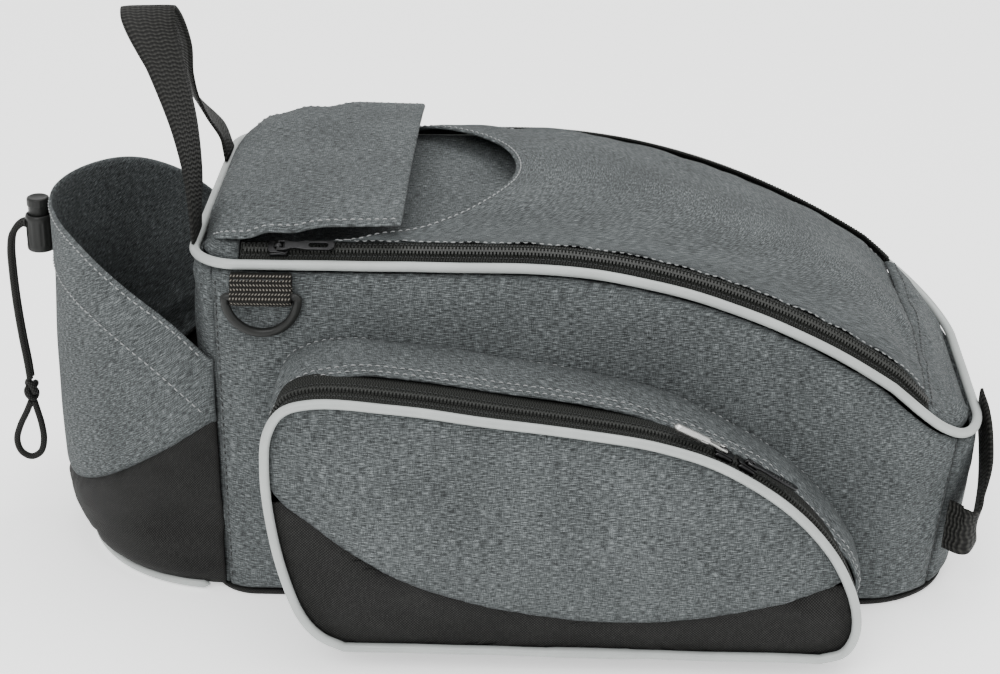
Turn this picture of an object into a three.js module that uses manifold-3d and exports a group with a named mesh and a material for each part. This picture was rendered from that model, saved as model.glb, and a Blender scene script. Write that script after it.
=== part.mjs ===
// A padded trunk bag for a bicycle's rear rack: a wedge-shaped body with a zipped lid and a top flap,
// a bulging zipped pocket on each side, an open pocket at the front end with a locked drawcord,
// webbing loops and two D-rings. Sizes are in mm. X runs to the rear, -Y is the near side, Z is up,
// and the origin is on the underside of the base, under the middle of the body.
import * as THREE from 'three';
import { mergeVertices } from 'three/addons/utils/BufferGeometryUtils.js';
import Module from 'manifold-3d';

const wasm = await Module();
wasm.setup();

// Body
const bodyLength = 372;
const bodyWidth = 185;
const frontHeight = 174.5;
const rearHeight = 84;
const levelLength = 148;
const frontCorner = 24;
const rearCorner = 48;
const frontLean = 1;
const rearLean = 10;
const sideLean = 2;
const sideBulge = 3;
const wallThickness = 4;
const baseThickness = 3;
const baseInset = 2;
const clearance = 0.3;
const frontSeamShare = 0.58;
const rearSeamShare = 0.55;
const nearSag = 7;
const sagShare = 1.85;
const sagRunShare = 0.55;

// Lid, its zips and the flap
const pipingRadius = 2.2;
const pipingSink = 0.8;
const lidInset = 12;
const lidRise = 8;
const lidCrown = 5;
const swellFront = 1.25;
const swellRear = 1.1;
const lidThickness = 3;
const coverThickness = 2;
const layerGap = 1.4;
const zipEndShare = 0.25;
const lidEdgeShare = 0.08;
const mouthApexShare = 0.41;
const mouthCornerShare = 0.117;
const mouthDepth = 8;
const mouthFadeShare = 0.3;
const flapLength = 96;
const flapHalfWidth = 87;
const flapLift = 6;
const flapCrown = 3.5;
const flapThickness = 3;

// Zip parts
const tapeThickness = 1.2;
const coilWidth = 4;
const coilHeight = 1.6;
const sliderLength = 9.6;
const sliderSide = 1.6;
const sliderRoof = 1;
const bailWidth = 2.6;
const bailInner = 1.35;
const bailWall = 0.9;
const bailSink = 0.2;
const bailDrop = 0.4;
const pullerLength = 26;
const pullerSide = 1.2;
const pullerThickness = 1.3;
const lidSliderShare = 0.06;

// Side pockets
const pocketFront = -145;
const pocketLength = 266.5;
const pocketFloor = 11.5;
const pocketUnderSeam = 39;
const pocketHeight = frontHeight - pocketFloor - pocketUnderSeam;
const pocketDepth = 60.5;
const pocketFlare = 14;
const pocketDome = 7;
const pocketDomeReach = 48;
const casingThickness = 2.2;
const facePanelThickness = 3;
const casingEdgeShare = 0.4;
const pocketPipingRadius = 2.2;
const pocketSliderShare = 0.7135;
const pocketSliderSpace = 2.4;
const tapeRecess = 0.5;
const coilEndGap = 2;
const poleAlongShare = 0.46;
const poleUpShare = 0.45;
const faceRings = [0, 0.14, 0.36, 0.64, 0.94];

// End pocket at the front
const endDepth = 87;
const endWall = 2.2;
const endBaseThickness = 2;
const endLift = 1;
const endPipingRadius = 2;
const endRimHigh = 174.5;
const endRimLow = 124.5;
const endSeamHigh = 92.5;
const endSeamLow = 33;
const rimCurve = 1.9;
const seamCurve = 1.1;
const pipingReach = 0.95;

// Drawcord and its lock
const cordDiameter = 3.4;
const cordSpacing = 3.8;
const lockRadius = 7;
const lockHeight = 19;
const lockFoot = 144;
const lockBore = 5.5;
const lockFloor = 1.5;
const lockCordHeight = 14.5;
const plungerRadius = 5.2;
const plungerHead = 5.6;
const plungerHeadHeight = 4.5;
const plungerTravel = 3.7;
const knotWidth = 10;
const knotHeight = 12.5;

// Webbing and D-rings
const webWidth = 25;
const webThickness = 2;
const handleHeight = 94;
const handleSpan = 112;
const handleMiddle = -6;
const handleLean = 25;
const rearLoopReach = 11;
const tabWidth = 28;
const tabWall = 1.3;
const tabDrop = 10.5;
const tabTopThickness = 3.4;
const ringThickness = 3.6;
const ringPlay = 0.5;
const ringBand = 4.2;
const ringStraight = 1;
const nearRingShare = 0.035;
const farRingShare = 0.999;

// Face outline of a side pocket, from the bottom's front end over the top to its rear end. along and up
// are shares of pocketLength and pocketHeight; flare is the share of pocketFlare by which the pocket
// is wider where it is sewn to the body, or narrower below 0.
const pocketOutline = [
  { along: 0.124, up: 0.015, flare: 0.3 },
  { along: 0.083, up: 0.06, flare: 0.3 },
  { along: 0.053, up: 0.14, flare: 0.3 },
  { along: 0.023, up: 0.33, flare: 0.2 },
  { along: 0.005, up: 0.55, flare: 0.1 },
  { along: 0, up: 0.74, flare: 0 },
  { along: 0.007, up: 0.88, flare: 0.1 },
  { along: 0.032, up: 0.967, flare: 0.2 },
  { along: 0.083, up: 1, flare: 0.3 },
  { along: 0.233, up: 0.98, flare: 0.35 },
  { along: 0.394, up: 0.934, flare: 0.3 },
  { along: 0.538, up: 0.895, flare: 0.15 },
  { along: 0.645, up: 0.857, flare: 0 },
  { along: 0.73, up: 0.801, flare: -0.2 },
  { along: 0.8, up: 0.724, flare: -0.25 },
  { along: 0.865, up: 0.624, flare: -0.18 },
  { along: 0.92, up: 0.508, flare: -0.08 },
  { along: 0.962, up: 0.375, flare: 0.05 },
  { along: 0.99, up: 0.215, flare: 0.3 },
  { along: 0.992, up: 0.1, flare: 0.6 },
  { along: 0.975, up: 0.03, flare: 0.6 },
  { along: 0.935, up: 0, flare: 0.5 },
];

// Seam across the face of a side pocket, in shares of pocketLength and pocketHeight, drawn past both ends
const faceSeam = [
  [-0.03, 0.69], [0.011, 0.627], [0.06, 0.54], [0.13, 0.441], [0.19, 0.358], [0.248, 0.289], [0.32, 0.23],
  [0.391, 0.187], [0.493, 0.15], [0.582, 0.137], [0.694, 0.15], [0.78, 0.187], [0.862, 0.235], [0.942, 0.289],
  [1.03, 0.355],
];

// Section of the flap along its length. back is a share of flapLength, rise of lidRise, lift of flapLift
// and flapCrown, and half of flapHalfWidth.
const flapSections = [
  { back: 0, rise: 0.2, lift: 0.1, half: 0.7 },
  { back: 0.045, rise: 0.62, lift: 0.12, half: 0.8 },
  { back: 0.094, rise: 1, lift: 0.25, half: 0.9 },
  { back: 0.16, rise: 1, lift: 0.5, half: 0.965 },
  { back: 0.26, rise: 1, lift: 0.74, half: 1 },
  { back: 0.5, rise: 1, lift: 0.88, half: 1 },
  { back: 0.75, rise: 1, lift: 0.98, half: 0.99 },
  { back: 1, rise: 1, lift: 1, half: 0.985 },
];

// Depth of the end pocket at some heights. up is a share of frontHeight and depth of endDepth.
const endSections = [
  { up: 0, depth: 0.86 },
  { up: 0.04, depth: 0.91 },
  { up: 0.09, depth: 0.965 },
  { up: 0.16, depth: 0.995 },
  { up: 0.4, depth: 1.01 },
  { up: 0.7, depth: 1 },
  { up: 1, depth: 0.995 },
];

// The tall loop at the front end. across is a share of half of handleSpan, up of handleHeight,
// lean of handleLean, and turn is how far the web is turned from lying across the bag, in degrees.
const handlePath = [
  { across: -1, up: 0, lean: 0, turn: 0 },
  { across: -1, up: 0.13, lean: 0, turn: 4 },
  { across: -0.9, up: 0.33, lean: 0.06, turn: 18 },
  { across: -0.79, up: 0.54, lean: 0.22, turn: 30 },
  { across: -0.6, up: 0.78, lean: 0.56, turn: 42 },
  { across: -0.36, up: 0.95, lean: 0.92, turn: 62 },
  { across: -0.1, up: 1, lean: 1.03, turn: 88 },
  { across: 0.14, up: 0.92, lean: 0.92, turn: 112 },
  { across: 0.34, up: 0.78, lean: 0.8, turn: 130 },
  { across: 0.56, up: 0.6, lean: 0.78, turn: 145 },
  { across: 0.75, up: 0.43, lean: 0.68, turn: 155 },
  { across: 0.9, up: 0.27, lean: 0.45, turn: 165 },
  { across: 0.99, up: 0.12, lean: 0.12, turn: 176 },
  { across: 0.99, up: 0, lean: 0, turn: 180 },
];

// The rear loop, from the side's rear seam round to the rear top seam. reach is a share of rearLoopReach
// behind the rear wall, side is a share of half of bodyWidth, up of rearHeight, and turn is how far
// the web is turned from hanging upright, in degrees.
const rearLoopPath = [
  { reach: 0, side: -0.84, up: 0.464, turn: 180 },
  { reach: -0.25, side: -0.885, up: 0.458, turn: 180 },
  { reach: 0.15, side: -0.86, up: 0.478, turn: 174 },
  { reach: 0.35, side: -0.775, up: 0.56, turn: 158 },
  { reach: 0.55, side: -0.665, up: 0.7, turn: 140 },
  { reach: 0.5, side: -0.546, up: 0.845, turn: 124 },
  { reach: 0.4, side: -0.433, up: 0.93, turn: 108 },
  { reach: 0.29, side: -0.35, up: 0.985, turn: 96 },
];

// Routes of the drawcord's two strands and of the loop under the knot, as chosen points: x and z
const cordRoute = [
  [-266.9, 158.5],
  [-276, 158.5],
  [-282.5, 157.6],
  [-287, 152.5],
  [-288.6, 145],
  [-288.8, 132],
  [-288.2, 115],
  [-286.8, 97],
  [-285.2, 82],
  [-284.6, 73.7],
];
const cordLoopRoute = [
  [-285.4, 60.3],
  [-288.2, 54],
  [-292.2, 46],
  [-294.4, 38],
  [-292.6, 31.4],
  [-287.8, 28.6],
  [-282.8, 31.2],
  [-280.6, 38],
  [-281, 47],
  [-282.6, 55],
  [-283.8, 60.3],
];
const knotPlace = [-284.6, 0, 67];

// Colours as rough guides for each kind of stuff
const greyCloth = { color: 0x5c636b, roughness: 0.9, metalness: 0 };
const blackCloth = { color: 0x1d1e20, roughness: 0.85, metalness: 0 };
const webbing = { color: 0x1b1c1d, roughness: 0.8, metalness: 0 };
const zipTape = { color: 0x1f1f1d, roughness: 0.85, metalness: 0 };
const reflective = { color: 0xc6cac9, roughness: 0.45, metalness: 0 };
const darkPlastic = { color: 0x202224, roughness: 0.45, metalness: 0 };
const zipMetal = { color: 0x4a4c4e, roughness: 0.35, metalness: 0.9 };

// Small helpers
const vec = (x, y, z) => new THREE.Vector3(x, y, z);
const mix = (a, b, s) => a + (b - a) * s;
const ease = (s) => THREE.MathUtils.smoothstep(s, 0, 1);
const steps = (from, to, count) => Array.from({ length: count + 1 }, (_, i) => mix(from, to, i / count));
const object = new THREE.Group();

// Adds a named piece of one finish to the object.
function piece(name, geometry, finish) {
  const mesh = new THREE.Mesh(geometry, new THREE.MeshStandardMaterial(finish));
  mesh.name = name;
  object.add(mesh);
  return mesh;
}

// Puts a piece that was made round its own origin at a place, with its X and Z axes along two directions.
function place(mesh, origin, xAxis, zAxis) {
  const across = new THREE.Vector3().crossVectors(zAxis, xAxis).normalize();
  const along = new THREE.Vector3().crossVectors(across, zAxis).normalize();
  const matrix = new THREE.Matrix4().makeBasis(along, across, zAxis.clone().normalize());
  mesh.applyMatrix4(matrix.setPosition(origin));
}

// Makes a closed geometry from points and triangles, turned so that its faces point out.
function closedGeometry(points, triangles) {
  let volume = 0;
  for (const [a, b, c] of triangles) {
    volume += points[a].dot(new THREE.Vector3().crossVectors(points[b], points[c]));
  }
  const geometry = new THREE.BufferGeometry();
  const places = points.flatMap((p) => p.toArray());
  geometry.setAttribute('position', new THREE.Float32BufferAttribute(places, 3));
  geometry.setIndex(triangles.flatMap(([a, b, c]) => (volume < 0 ? [a, c, b] : [a, b, c])));
  return geometry;
}

// Joins rings of equal count into a solid: a closed band, or a bar with a fan over each end.
function loft(rings, closed = false) {
  const count = rings[0].length;
  const points = rings.flat();
  const triangles = [];
  const spans = closed ? rings.length : rings.length - 1;
  for (let i = 0; i < spans; i += 1) {
    const here = i * count;
    const next = ((i + 1) % rings.length) * count;
    for (let j = 0; j < count; j += 1) {
      const k = (j + 1) % count;
      triangles.push([here + j, here + k, next + k], [here + j, next + k, next + j]);
    }
  }
  if (!closed) {
    const last = (rings.length - 1) * count;
    const middle = (ring) => ring.reduce((sum, p) => sum.add(p), vec(0, 0, 0)).divideScalar(count);
    points.push(middle(rings[0]), middle(rings.at(-1)));
    for (let j = 0; j < count; j += 1) {
      const k = (j + 1) % count;
      triangles.push([points.length - 2, k, j], [points.length - 1, last + j, last + k]);
    }
  }
  return closedGeometry(points, triangles);
}

// Makes a thin wall from an outer and an inner grid of points, rows by columns. A closed one runs round.
function sheet(outer, inner, closed = false) {
  const rows = outer.length;
  const columns = outer[0].length;
  const points = [...outer.flat(), ...inner.flat()];
  const triangles = [];
  const at = (layer, i, j) => (layer * rows + (i % rows)) * columns + j;
  const quad = (a, b, c, d) => triangles.push([a, b, c], [a, c, d]);
  const spans = closed ? rows : rows - 1;
  const last = columns - 1;
  for (let i = 0; i < spans; i += 1) {
    for (let j = 0; j < last; j += 1) {
      quad(at(0, i, j), at(0, i + 1, j), at(0, i + 1, j + 1), at(0, i, j + 1));
      quad(at(1, i, j), at(1, i, j + 1), at(1, i + 1, j + 1), at(1, i + 1, j));
    }
    quad(at(0, i, 0), at(1, i, 0), at(1, i + 1, 0), at(0, i + 1, 0));
    quad(at(0, i, last), at(0, i + 1, last), at(1, i + 1, last), at(1, i, last));
  }
  for (let j = 0; j < last && !closed; j += 1) {
    quad(at(0, 0, j), at(0, 0, j + 1), at(1, 0, j + 1), at(1, 0, j));
    quad(at(0, rows - 1, j), at(1, rows - 1, j), at(1, rows - 1, j + 1), at(0, rows - 1, j + 1));
  }
  return closedGeometry(points, triangles);
}

// Turns a geometry into a solid that can be cut, and back.
function solid(geometry) {
  const bare = new THREE.BufferGeometry();
  bare.setAttribute('position', geometry.getAttribute('position').clone());
  bare.setIndex(geometry.getIndex());
  const merged = mergeVertices(bare, 1e-4);
  const vertProperties = new Float32Array(merged.getAttribute('position').array);
  const triVerts = new Uint32Array(merged.getIndex().array);
  return new wasm.Manifold(new wasm.Mesh({ numProp: 3, vertProperties, triVerts }));
}
function shapeOf(cut) {
  const mesh = cut.getMesh();
  const geometry = new THREE.BufferGeometry();
  geometry.setAttribute('position', new THREE.Float32BufferAttribute(mesh.vertProperties, 3));
  geometry.setIndex([...mesh.triVerts]);
  return geometry;
}
function block(length, width, height, x, y, z) {
  return new THREE.BoxGeometry(length, width, height).translate(x, y, z);
}

// Extrudes an outline drawn in X and Z evenly to both sides along Y.
function plate(shape, thickness, curveSegments = 5) {
  const geometry = new THREE.ExtrudeGeometry(shape, { depth: thickness, bevelEnabled: false, curveSegments });
  return geometry.translate(0, 0, -thickness / 2).rotateX(Math.PI / 2);
}

// Plan of the body on one side: t runs round the front corner (0 to 1), along the side (1 to 2)
// and round the rear corner (2 to 3). level is 0 at the base and 1 at the top seam.
function plan(side, t, level) {
  const front = -bodyLength / 2 + frontLean * (1 - level) + frontCorner;
  const rear = bodyLength / 2 - rearLean * (1 - level) - rearCorner;
  const half = bodyWidth / 2 - sideLean * (1 - level);
  const radius = t < 1 ? frontCorner : rearCorner;
  const turn = ((t < 1 ? t - 1 : Math.max(t - 2, 0)) * Math.PI) / 2;
  const middle = mix(front, rear, THREE.MathUtils.clamp(t - 1, 0, 1));
  const out = vec(Math.sin(turn), side * Math.cos(turn), 0);
  const corner = t < 1 || t > 2 ? radius : 0;
  const centre = vec(middle, side * (half - corner), 0);
  return { p: centre.addScaledVector(out, corner), out };
}

// Height of the top seam. The near rear corner hangs a little lower than the far one.
function seamHeight(x) {
  const bend = levelLength - bodyLength / 2;
  const fall = Math.max(0, (x - bend) / (bodyLength - levelLength));
  return frontHeight - (frontHeight - rearHeight) * fall ** 2;
}
function seamPoint(side, t) {
  const { p, out } = plan(side, t, 1);
  const sag = side < 0 ? nearSag * ease((t - sagShare) / sagRunShare) * ease((3 - t) / sagRunShare) : 0;
  return { p: p.setZ(seamHeight(p.x) - sag), out };
}

// A frame on the top seam: its place, the way out of the bag and the way up across the seam.
function rail(side, t) {
  const { p, out } = seamPoint(side, t);
  const tiny = 1e-3;
  const before = seamPoint(side, Math.max(t - tiny, 0)).p;
  const along = seamPoint(side, Math.min(t + tiny, 3)).p.sub(before);
  const up = new THREE.Vector3().crossVectors(out, along).normalize();
  if (up.z < 0) {
    up.negate();
  }
  return { p, out, up };
}
const offset = ({ p, out, up }, a, b) => p.clone().addScaledVector(out, a).addScaledVector(up, b);
const section = (frame, profile) => profile.map(([a, b]) => offset(frame, a, b));
function round(radiusOut, radiusUp, sides, out = 0, up = 0) {
  return Array.from({ length: sides }, (_, i) => {
    const angle = ((i + 0.5) / sides) * 2 * Math.PI;
    return [out + radiusOut * Math.cos(angle), up + radiusUp * Math.sin(angle)];
  });
}
const sharePerGap = (radius) => clearance / ((radius * Math.PI) / 2);

// Walls of the body
const wallFoot = baseThickness + clearance;
const wallDrop = pipingRadius + clearance;
function wallPoint(side, t, k) {
  const top = offset(rail(side, t), 0, -wallDrop);
  const foot = plan(side, t, 0);
  const spread = THREE.MathUtils.clamp((t - frontSeamShare) / (2 + rearSeamShare - frontSeamShare), 0, 1);
  const bulge = sideBulge * Math.sin(Math.PI * spread) * Math.sin(Math.PI * k);
  const p = foot.p.setZ(wallFoot).lerp(top, k).addScaledVector(foot.out, bulge);
  return { p, out: foot.out };
}

// How far the side wall stands out at a place along the bag and a height.
function sideOut(side, x, z) {
  const front = -bodyLength / 2 + frontCorner;
  const t = 1 + THREE.MathUtils.clamp((x - front) / (bodyLength - frontCorner - rearCorner), 0, 1);
  const top = wallPoint(side, t, 1).p.z;
  const k = THREE.MathUtils.clamp((z - wallFoot) / (top - wallFoot), 0, 1);
  return side * wallPoint(side, t, k).p.y;
}
function wallPanel(stations, rows) {
  const grid = (inset) => stations.map(([side, t]) => steps(0, 1, rows).map((k) => {
    const { p, out } = wallPoint(side, t, k);
    return p.addScaledVector(out, -inset);
  }));
  return sheet(grid(0), grid(wallThickness));
}
const sideStations = [
  ...steps(frontSeamShare, 1, 2),
  ...steps(1, 2, 14).slice(1),
  ...steps(2, 2 + rearSeamShare, 4).slice(1),
];
const frontEdges = steps(frontSeamShare - sharePerGap(frontCorner), 0, 3);
const rearEdges = steps(2 + rearSeamShare + sharePerGap(rearCorner - wallThickness), 3, 4);
const acrossEnd = (edges) => [...edges.map((t) => [-1, t]), ...[...edges].reverse().map((t) => [1, t])];

function buildBody() {
  for (const [name, side] of [['near', -1], ['far', 1]]) {
    piece(`side_panel_${name}`, wallPanel(sideStations.map((t) => [side, t]), 3), greyCloth);
  }
  piece('front_panel', wallPanel(acrossEnd(frontEdges), 3), greyCloth);
  piece('rear_panel', wallPanel(acrossEnd(rearEdges), 2), greyCloth);
  const rim = [...steps(0, 1, 3), ...steps(2, 3, 4)];
  const edge = [...rim.map((t) => plan(-1, t, 0)), ...[...rim].reverse().map((t) => plan(1, t, 0))];
  const outline = edge.map(({ p, out }) => p.addScaledVector(out, -baseInset));
  const raised = outline.map((p) => p.clone().setZ(baseThickness));
  piece('base_panel', loft([outline, raised]), blackCloth);
}

// Stations of the top seam and of the zips beside the lid
const frontTurn = steps(0, 1, 4);
const sideRun = steps(1, 2, 14);
const rearTurn = steps(2, 3, 6);
const ringShares = [...frontTurn, ...sideRun.slice(1), ...rearTurn.slice(1)];
const zipStart = 1 + clearance / (bodyLength - frontCorner - rearCorner);
const zipEnd = 2 + zipEndShare;
const tailStart = zipEnd + 2 * sharePerGap(rearCorner - lidInset);
const zipShares = [zipStart, ...sideRun.slice(1), ...steps(2, zipEnd, 2).slice(1)];
const footOut = -(pipingSink + pipingRadius + clearance);
const footUp = 0.2 * lidRise;
const slopeLength = Math.hypot(lidInset + footOut, lidRise - footUp);
const slope = { out: -(lidInset + footOut) / slopeLength, up: (lidRise - footUp) / slopeLength };
const lift = { out: slope.up, up: -slope.out };

// A point on the sloped strip beside the lid: share of its width from the piping, and height over it.
function slopePoint(frame, share, height) {
  const run = share * slopeLength;
  const a = footOut + slope.out * run + lift.out * height;
  return offset(frame, a, footUp + slope.up * run + lift.up * height);
}

// A row across the lid at one share: v runs from -1 at the near zip to 1 at the far one.
function lidPoint(t, v, height, inset = lidInset + clearance) {
  const near = rail(-1, t);
  const far = rail(1, t);
  const up = near.up.clone().add(far.up).normalize();
  const swell = ease(t / swellFront) * ease((3 - t) / swellRear);
  const rise = lidRise + height;
  const edge = offset(near, -inset, rise).lerp(offset(far, -inset, rise), (v + 1) / 2);
  return edge.addScaledVector(up, lidCrown * swell * (1 - v * v));
}
function fullRow(t, height) {
  const across = steps(-1, 1, 8).map((v) => lidPoint(t, v, height, lidInset));
  return [slopePoint(rail(-1, t), 0, height), ...across, slopePoint(rail(1, t), 0, height)];
}

// The lid's front or rear edge, at the foot of the piping
function edgeRow(t, height) {
  const near = slopePoint(rail(-1, t), 0, height);
  const far = slopePoint(rail(1, t), 0, height);
  return steps(0, 1, 10).map((s) => near.clone().lerp(far, s));
}
function dip(t, v) {
  const open = ease((t - 1) / mouthCornerShare) * ease(1 - (t - 1 - mouthApexShare) / mouthFadeShare);
  return mouthDepth * open * (1 - v ** 4);
}

function buildLid() {
  const ring = [...ringShares.map((t) => rail(-1, t)), ...[...ringShares].reverse().map((t) => rail(1, t))];
  const roundProfile = round(pipingRadius, pipingRadius, 6, -pipingSink);
  piece('top_piping', loft(ring.map((frame) => section(frame, roundProfile)), true), reflective);

  const part = (edge, shares) => {
    const rows = (height) => [edgeRow(edge, height), ...shares.map((t) => fullRow(t, height))];
    return sheet(rows(0), rows(-lidThickness));
  };
  piece('lid_front', part(0, steps(lidEdgeShare, 1, 4)), greyCloth);
  piece('lid_tail', part(3, steps(3 - lidEdgeShare, tailStart, 5)), greyCloth);

  const panelTop = (t, v) => -coverThickness - layerGap - dip(t, v);
  const panelShares = [...steps(zipStart, 2, 14), ...steps(2, zipEnd, 2).slice(1)];
  const panelRow = (t, drop) => steps(-1, 1, 6).map((v) => lidPoint(t, v, panelTop(t, v) - drop));
  const panel = (drop) => panelShares.map((t) => panelRow(t, drop));
  piece('lid_panel', sheet(panel(0), panel(lidThickness)), greyCloth);

  const cover = (drop) => steps(-1, 1, 12).map((s) => {
    const angle = (s * Math.PI) / 2;
    const start = 1 + mouthApexShare - (mouthApexShare - mouthCornerShare) * (1 - Math.cos(angle));
    return steps(start, zipEnd, 12).map((t) => lidPoint(t, Math.sin(angle), -drop));
  });
  piece('lid_cover', sheet(cover(0), cover(coverThickness)), greyCloth);
}

// The top flap, sewn behind the front piping and open at its sides and rear
function buildFlap() {
  const front = footOut + bodyLength / 2;
  const row = ({ back, rise, lift: share, half }, height) => steps(-1, 1, 8).map((v) => {
    const x = -front + back * flapLength;
    const over = lidRise * rise + clearance + share * (flapLift + flapCrown * (1 - v * v));
    return vec(x, v * half * flapHalfWidth, seamHeight(x) + over + height);
  });
  const surface = (height) => flapSections.map((part) => row(part, height));
  piece('top_flap', sheet(surface(flapThickness), surface(0)), greyCloth);
}

// Section of a zip coil: shares of half its width and half its height
const coilProfile = [[-1, -1], [1, -1], [0.8, 1], [-0.8, 1]];

// A zip slider on its coil: X along the zip, Z out of the tape, with the origin on the tape
const channelHeight = coilHeight + 2 * clearance;
const sliderWidth = coilWidth + 2 * clearance + 2 * sliderSide;
const sliderTop = channelHeight + sliderRoof;
const bailRise = bailInner - bailDrop;
const hingeHeight = sliderTop + bailRise;
function arch(radius, foot, top) {
  const shape = new THREE.Shape();
  shape.moveTo(-radius, foot);
  shape.lineTo(-radius, top);
  shape.absarc(0, top, radius, Math.PI, 0, true);
  shape.lineTo(radius, foot);
  return shape;
}
function sliderGeometry() {
  const body = block(sliderLength, sliderWidth, sliderTop - clearance, 0, 0, (sliderTop + clearance) / 2);
  const channelWidth = coilWidth + 2 * clearance;
  const channel = block(2 * sliderLength, channelWidth, 2 * channelHeight, 0, 0, 0);
  const roof = block(sliderLength, sliderWidth, sliderRoof, 0, 0, sliderTop - sliderRoof / 2);
  const bail = plate(arch(bailInner + bailWall, 0, bailRise), bailWidth);
  const hole = plate(arch(bailInner, -sliderRoof, bailRise), 2 * bailWidth);
  const loop = solid(bail).subtract(solid(hole)).translate([0, 0, sliderTop - bailSink]);
  return shapeOf(solid(body).subtract(solid(channel)).add(solid(roof)).add(loop));
}

// The puller's slotted end goes round the bail: its cross bar is the hinge, at the origin along Y.
function pullerGeometry() {
  const bar = pullerThickness / 2;
  const slotEnd = bailInner + bailWall + 2 * clearance;
  const slotHalf = bailWidth / 2 + clearance;
  const half = slotHalf + pullerSide;
  const shape = new THREE.Shape();
  shape.moveTo(-bar, -half);
  shape.lineTo(pullerLength - half, -half);
  shape.absarc(pullerLength - half, 0, half, -Math.PI / 2, Math.PI / 2, false);
  shape.lineTo(-bar, half);
  const slot = new THREE.Path();
  slot.moveTo(bar, -slotHalf);
  slot.lineTo(bar, slotHalf);
  slot.lineTo(slotEnd, slotHalf);
  slot.lineTo(slotEnd, -slotHalf);
  shape.holes.push(slot);
  const options = { depth: pullerThickness, bevelEnabled: false, curveSegments: 4 };
  return new THREE.ExtrudeGeometry(shape, options).translate(0, 0, -pullerThickness / 2);
}
function addSlider(name, origin, along, out, way) {
  place(piece(`${name}_slider`, sliderGeometry(), zipMetal), origin, along, out);
  const hinge = origin.clone().addScaledVector(out, hingeHeight);
  place(piece(`${name}_puller`, pullerGeometry(), zipMetal), hinge, along.clone().multiplyScalar(way), out);
}

function buildLidZips() {
  const innerEdge = 1 - (clearance + tapeThickness * slope.up) / slopeLength;
  const tapeRow = (side, t, height) => [0, innerEdge].map((s) => slopePoint(rail(side, t), s, height));
  const middle = 0.5;
  for (const [name, side] of [['near', -1], ['far', 1]]) {
    const rows = (height) => zipShares.map((t) => tapeRow(side, t, height));
    piece(`lid_zip_tape_${name}`, sheet(rows(0), rows(-tapeThickness)), zipTape);
    const coilRing = (t) => coilProfile.map(([a, b]) => {
      const height = clearance + (coilHeight / 2) * (1 + b);
      return slopePoint(rail(side, t), middle + (a * coilWidth) / 2 / slopeLength, height);
    });
    piece(`lid_zip_coil_${name}`, loft(zipShares.map(coilRing)), zipTape);
    const t = 1 + lidSliderShare;
    const { out, up } = rail(side, t);
    const normal = out.clone().multiplyScalar(lift.out).addScaledVector(up, lift.up);
    const ahead = rail(side, t + 0.01).p.sub(rail(side, t - 0.01).p).normalize();
    addSlider(`lid_${name}`, slopePoint(rail(side, t), middle, 0), ahead, normal, 1);
  }
}

// Side pockets: a rail round the face, with the way out of the pocket's rim and the way in to the body
const archShares = steps(0, 1, 24);
const faceCurve = new THREE.CatmullRomCurve3(pocketOutline.map(({ along, up, flare }) => {
  const x = pocketFront + along * pocketLength;
  return vec(x, flare * pocketFlare, pocketFloor + up * pocketHeight);
}));
function rimFrames() {
  const frames = archShares.map((s) => {
    const p = faceCurve.getPoint(s);
    const along = faceCurve.getTangent(s).setY(0).normalize();
    return { x: p.x, z: p.z, flare: p.y, out: vec(-along.z, 0, along.x) };
  });
  const [first, last] = [frames[0], frames.at(-1)];
  const floor = [0.2, 0.4, 0.6, 0.8].map((s) => {
    const at = (key) => mix(last[key], first[key], s);
    return { x: at('x'), z: at('z'), flare: at('flare'), out: vec(0, 0, -1) };
  });
  return [...frames, ...floor];
}
const rim = rimFrames();

// A point of the pocket's rim wall: depth is 0 at the face and 1 at the body.
const pocketFace = bodyWidth / 2 + sideBulge + clearance + pocketDepth;
function rimPoint(side, { x, z, flare, out }, depth, height) {
  const p = vec(x, 0, z).addScaledVector(out, flare * depth + height);
  const root = sideOut(side, p.x, p.z) + clearance;
  return p.setY(side * mix(pocketFace, root, depth));
}
function besideFace(x, z) {
  return Math.min(...rim.map((a, i) => {
    const b = rim[(i + 1) % rim.length];
    const line = new THREE.Line3(vec(a.x, 0, a.z), vec(b.x, 0, b.z));
    return line.closestPointToPoint(vec(x, 0, z), true, vec(0, 0, 0)).distanceTo(vec(x, 0, z));
  }));
}
function faceSolid(side) {
  const inset = pocketPipingRadius + clearance;
  const edge = rim.map(({ x, z, out }) => vec(x, 0, z).addScaledVector(out, -inset));
  const pole = vec(pocketFront + poleAlongShare * pocketLength, 0, pocketFloor + poleUpShare * pocketHeight);
  const layer = (share, back) => edge.map((p) => {
    const q = p.clone().lerp(pole, share);
    const dome = pocketDome * ease(Math.min(1, (besideFace(q.x, q.z) - inset) / pocketDomeReach));
    return q.setY(side * (pocketFace + dome - back));
  });
  const front = faceRings.map((s) => layer(s, 0));
  const back = [faceRings.at(-1), faceRings[2], 0].map((s) => layer(s, facePanelThickness));
  return loft([...back, ...front]);
}

// One side of the face's seam: the upper part is grey and the lower one black.
function faceRegion(upper) {
  const reach = pocketDepth + pocketDome + facePanelThickness;
  const seamX = (along) => pocketFront + along * pocketLength;
  const far = pocketFloor + (upper ? 2 : -1) * pocketHeight;
  const half = (upper ? clearance : -clearance) / 2;
  const shape = new THREE.Shape();
  shape.moveTo(seamX(faceSeam[0][0]), far);
  for (const [along, up] of faceSeam) {
    shape.lineTo(seamX(along), pocketFloor + up * pocketHeight + half);
  }
  shape.lineTo(seamX(faceSeam.at(-1)[0]), far);
  return plate(shape, 2 * (bodyWidth + reach));
}

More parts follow.
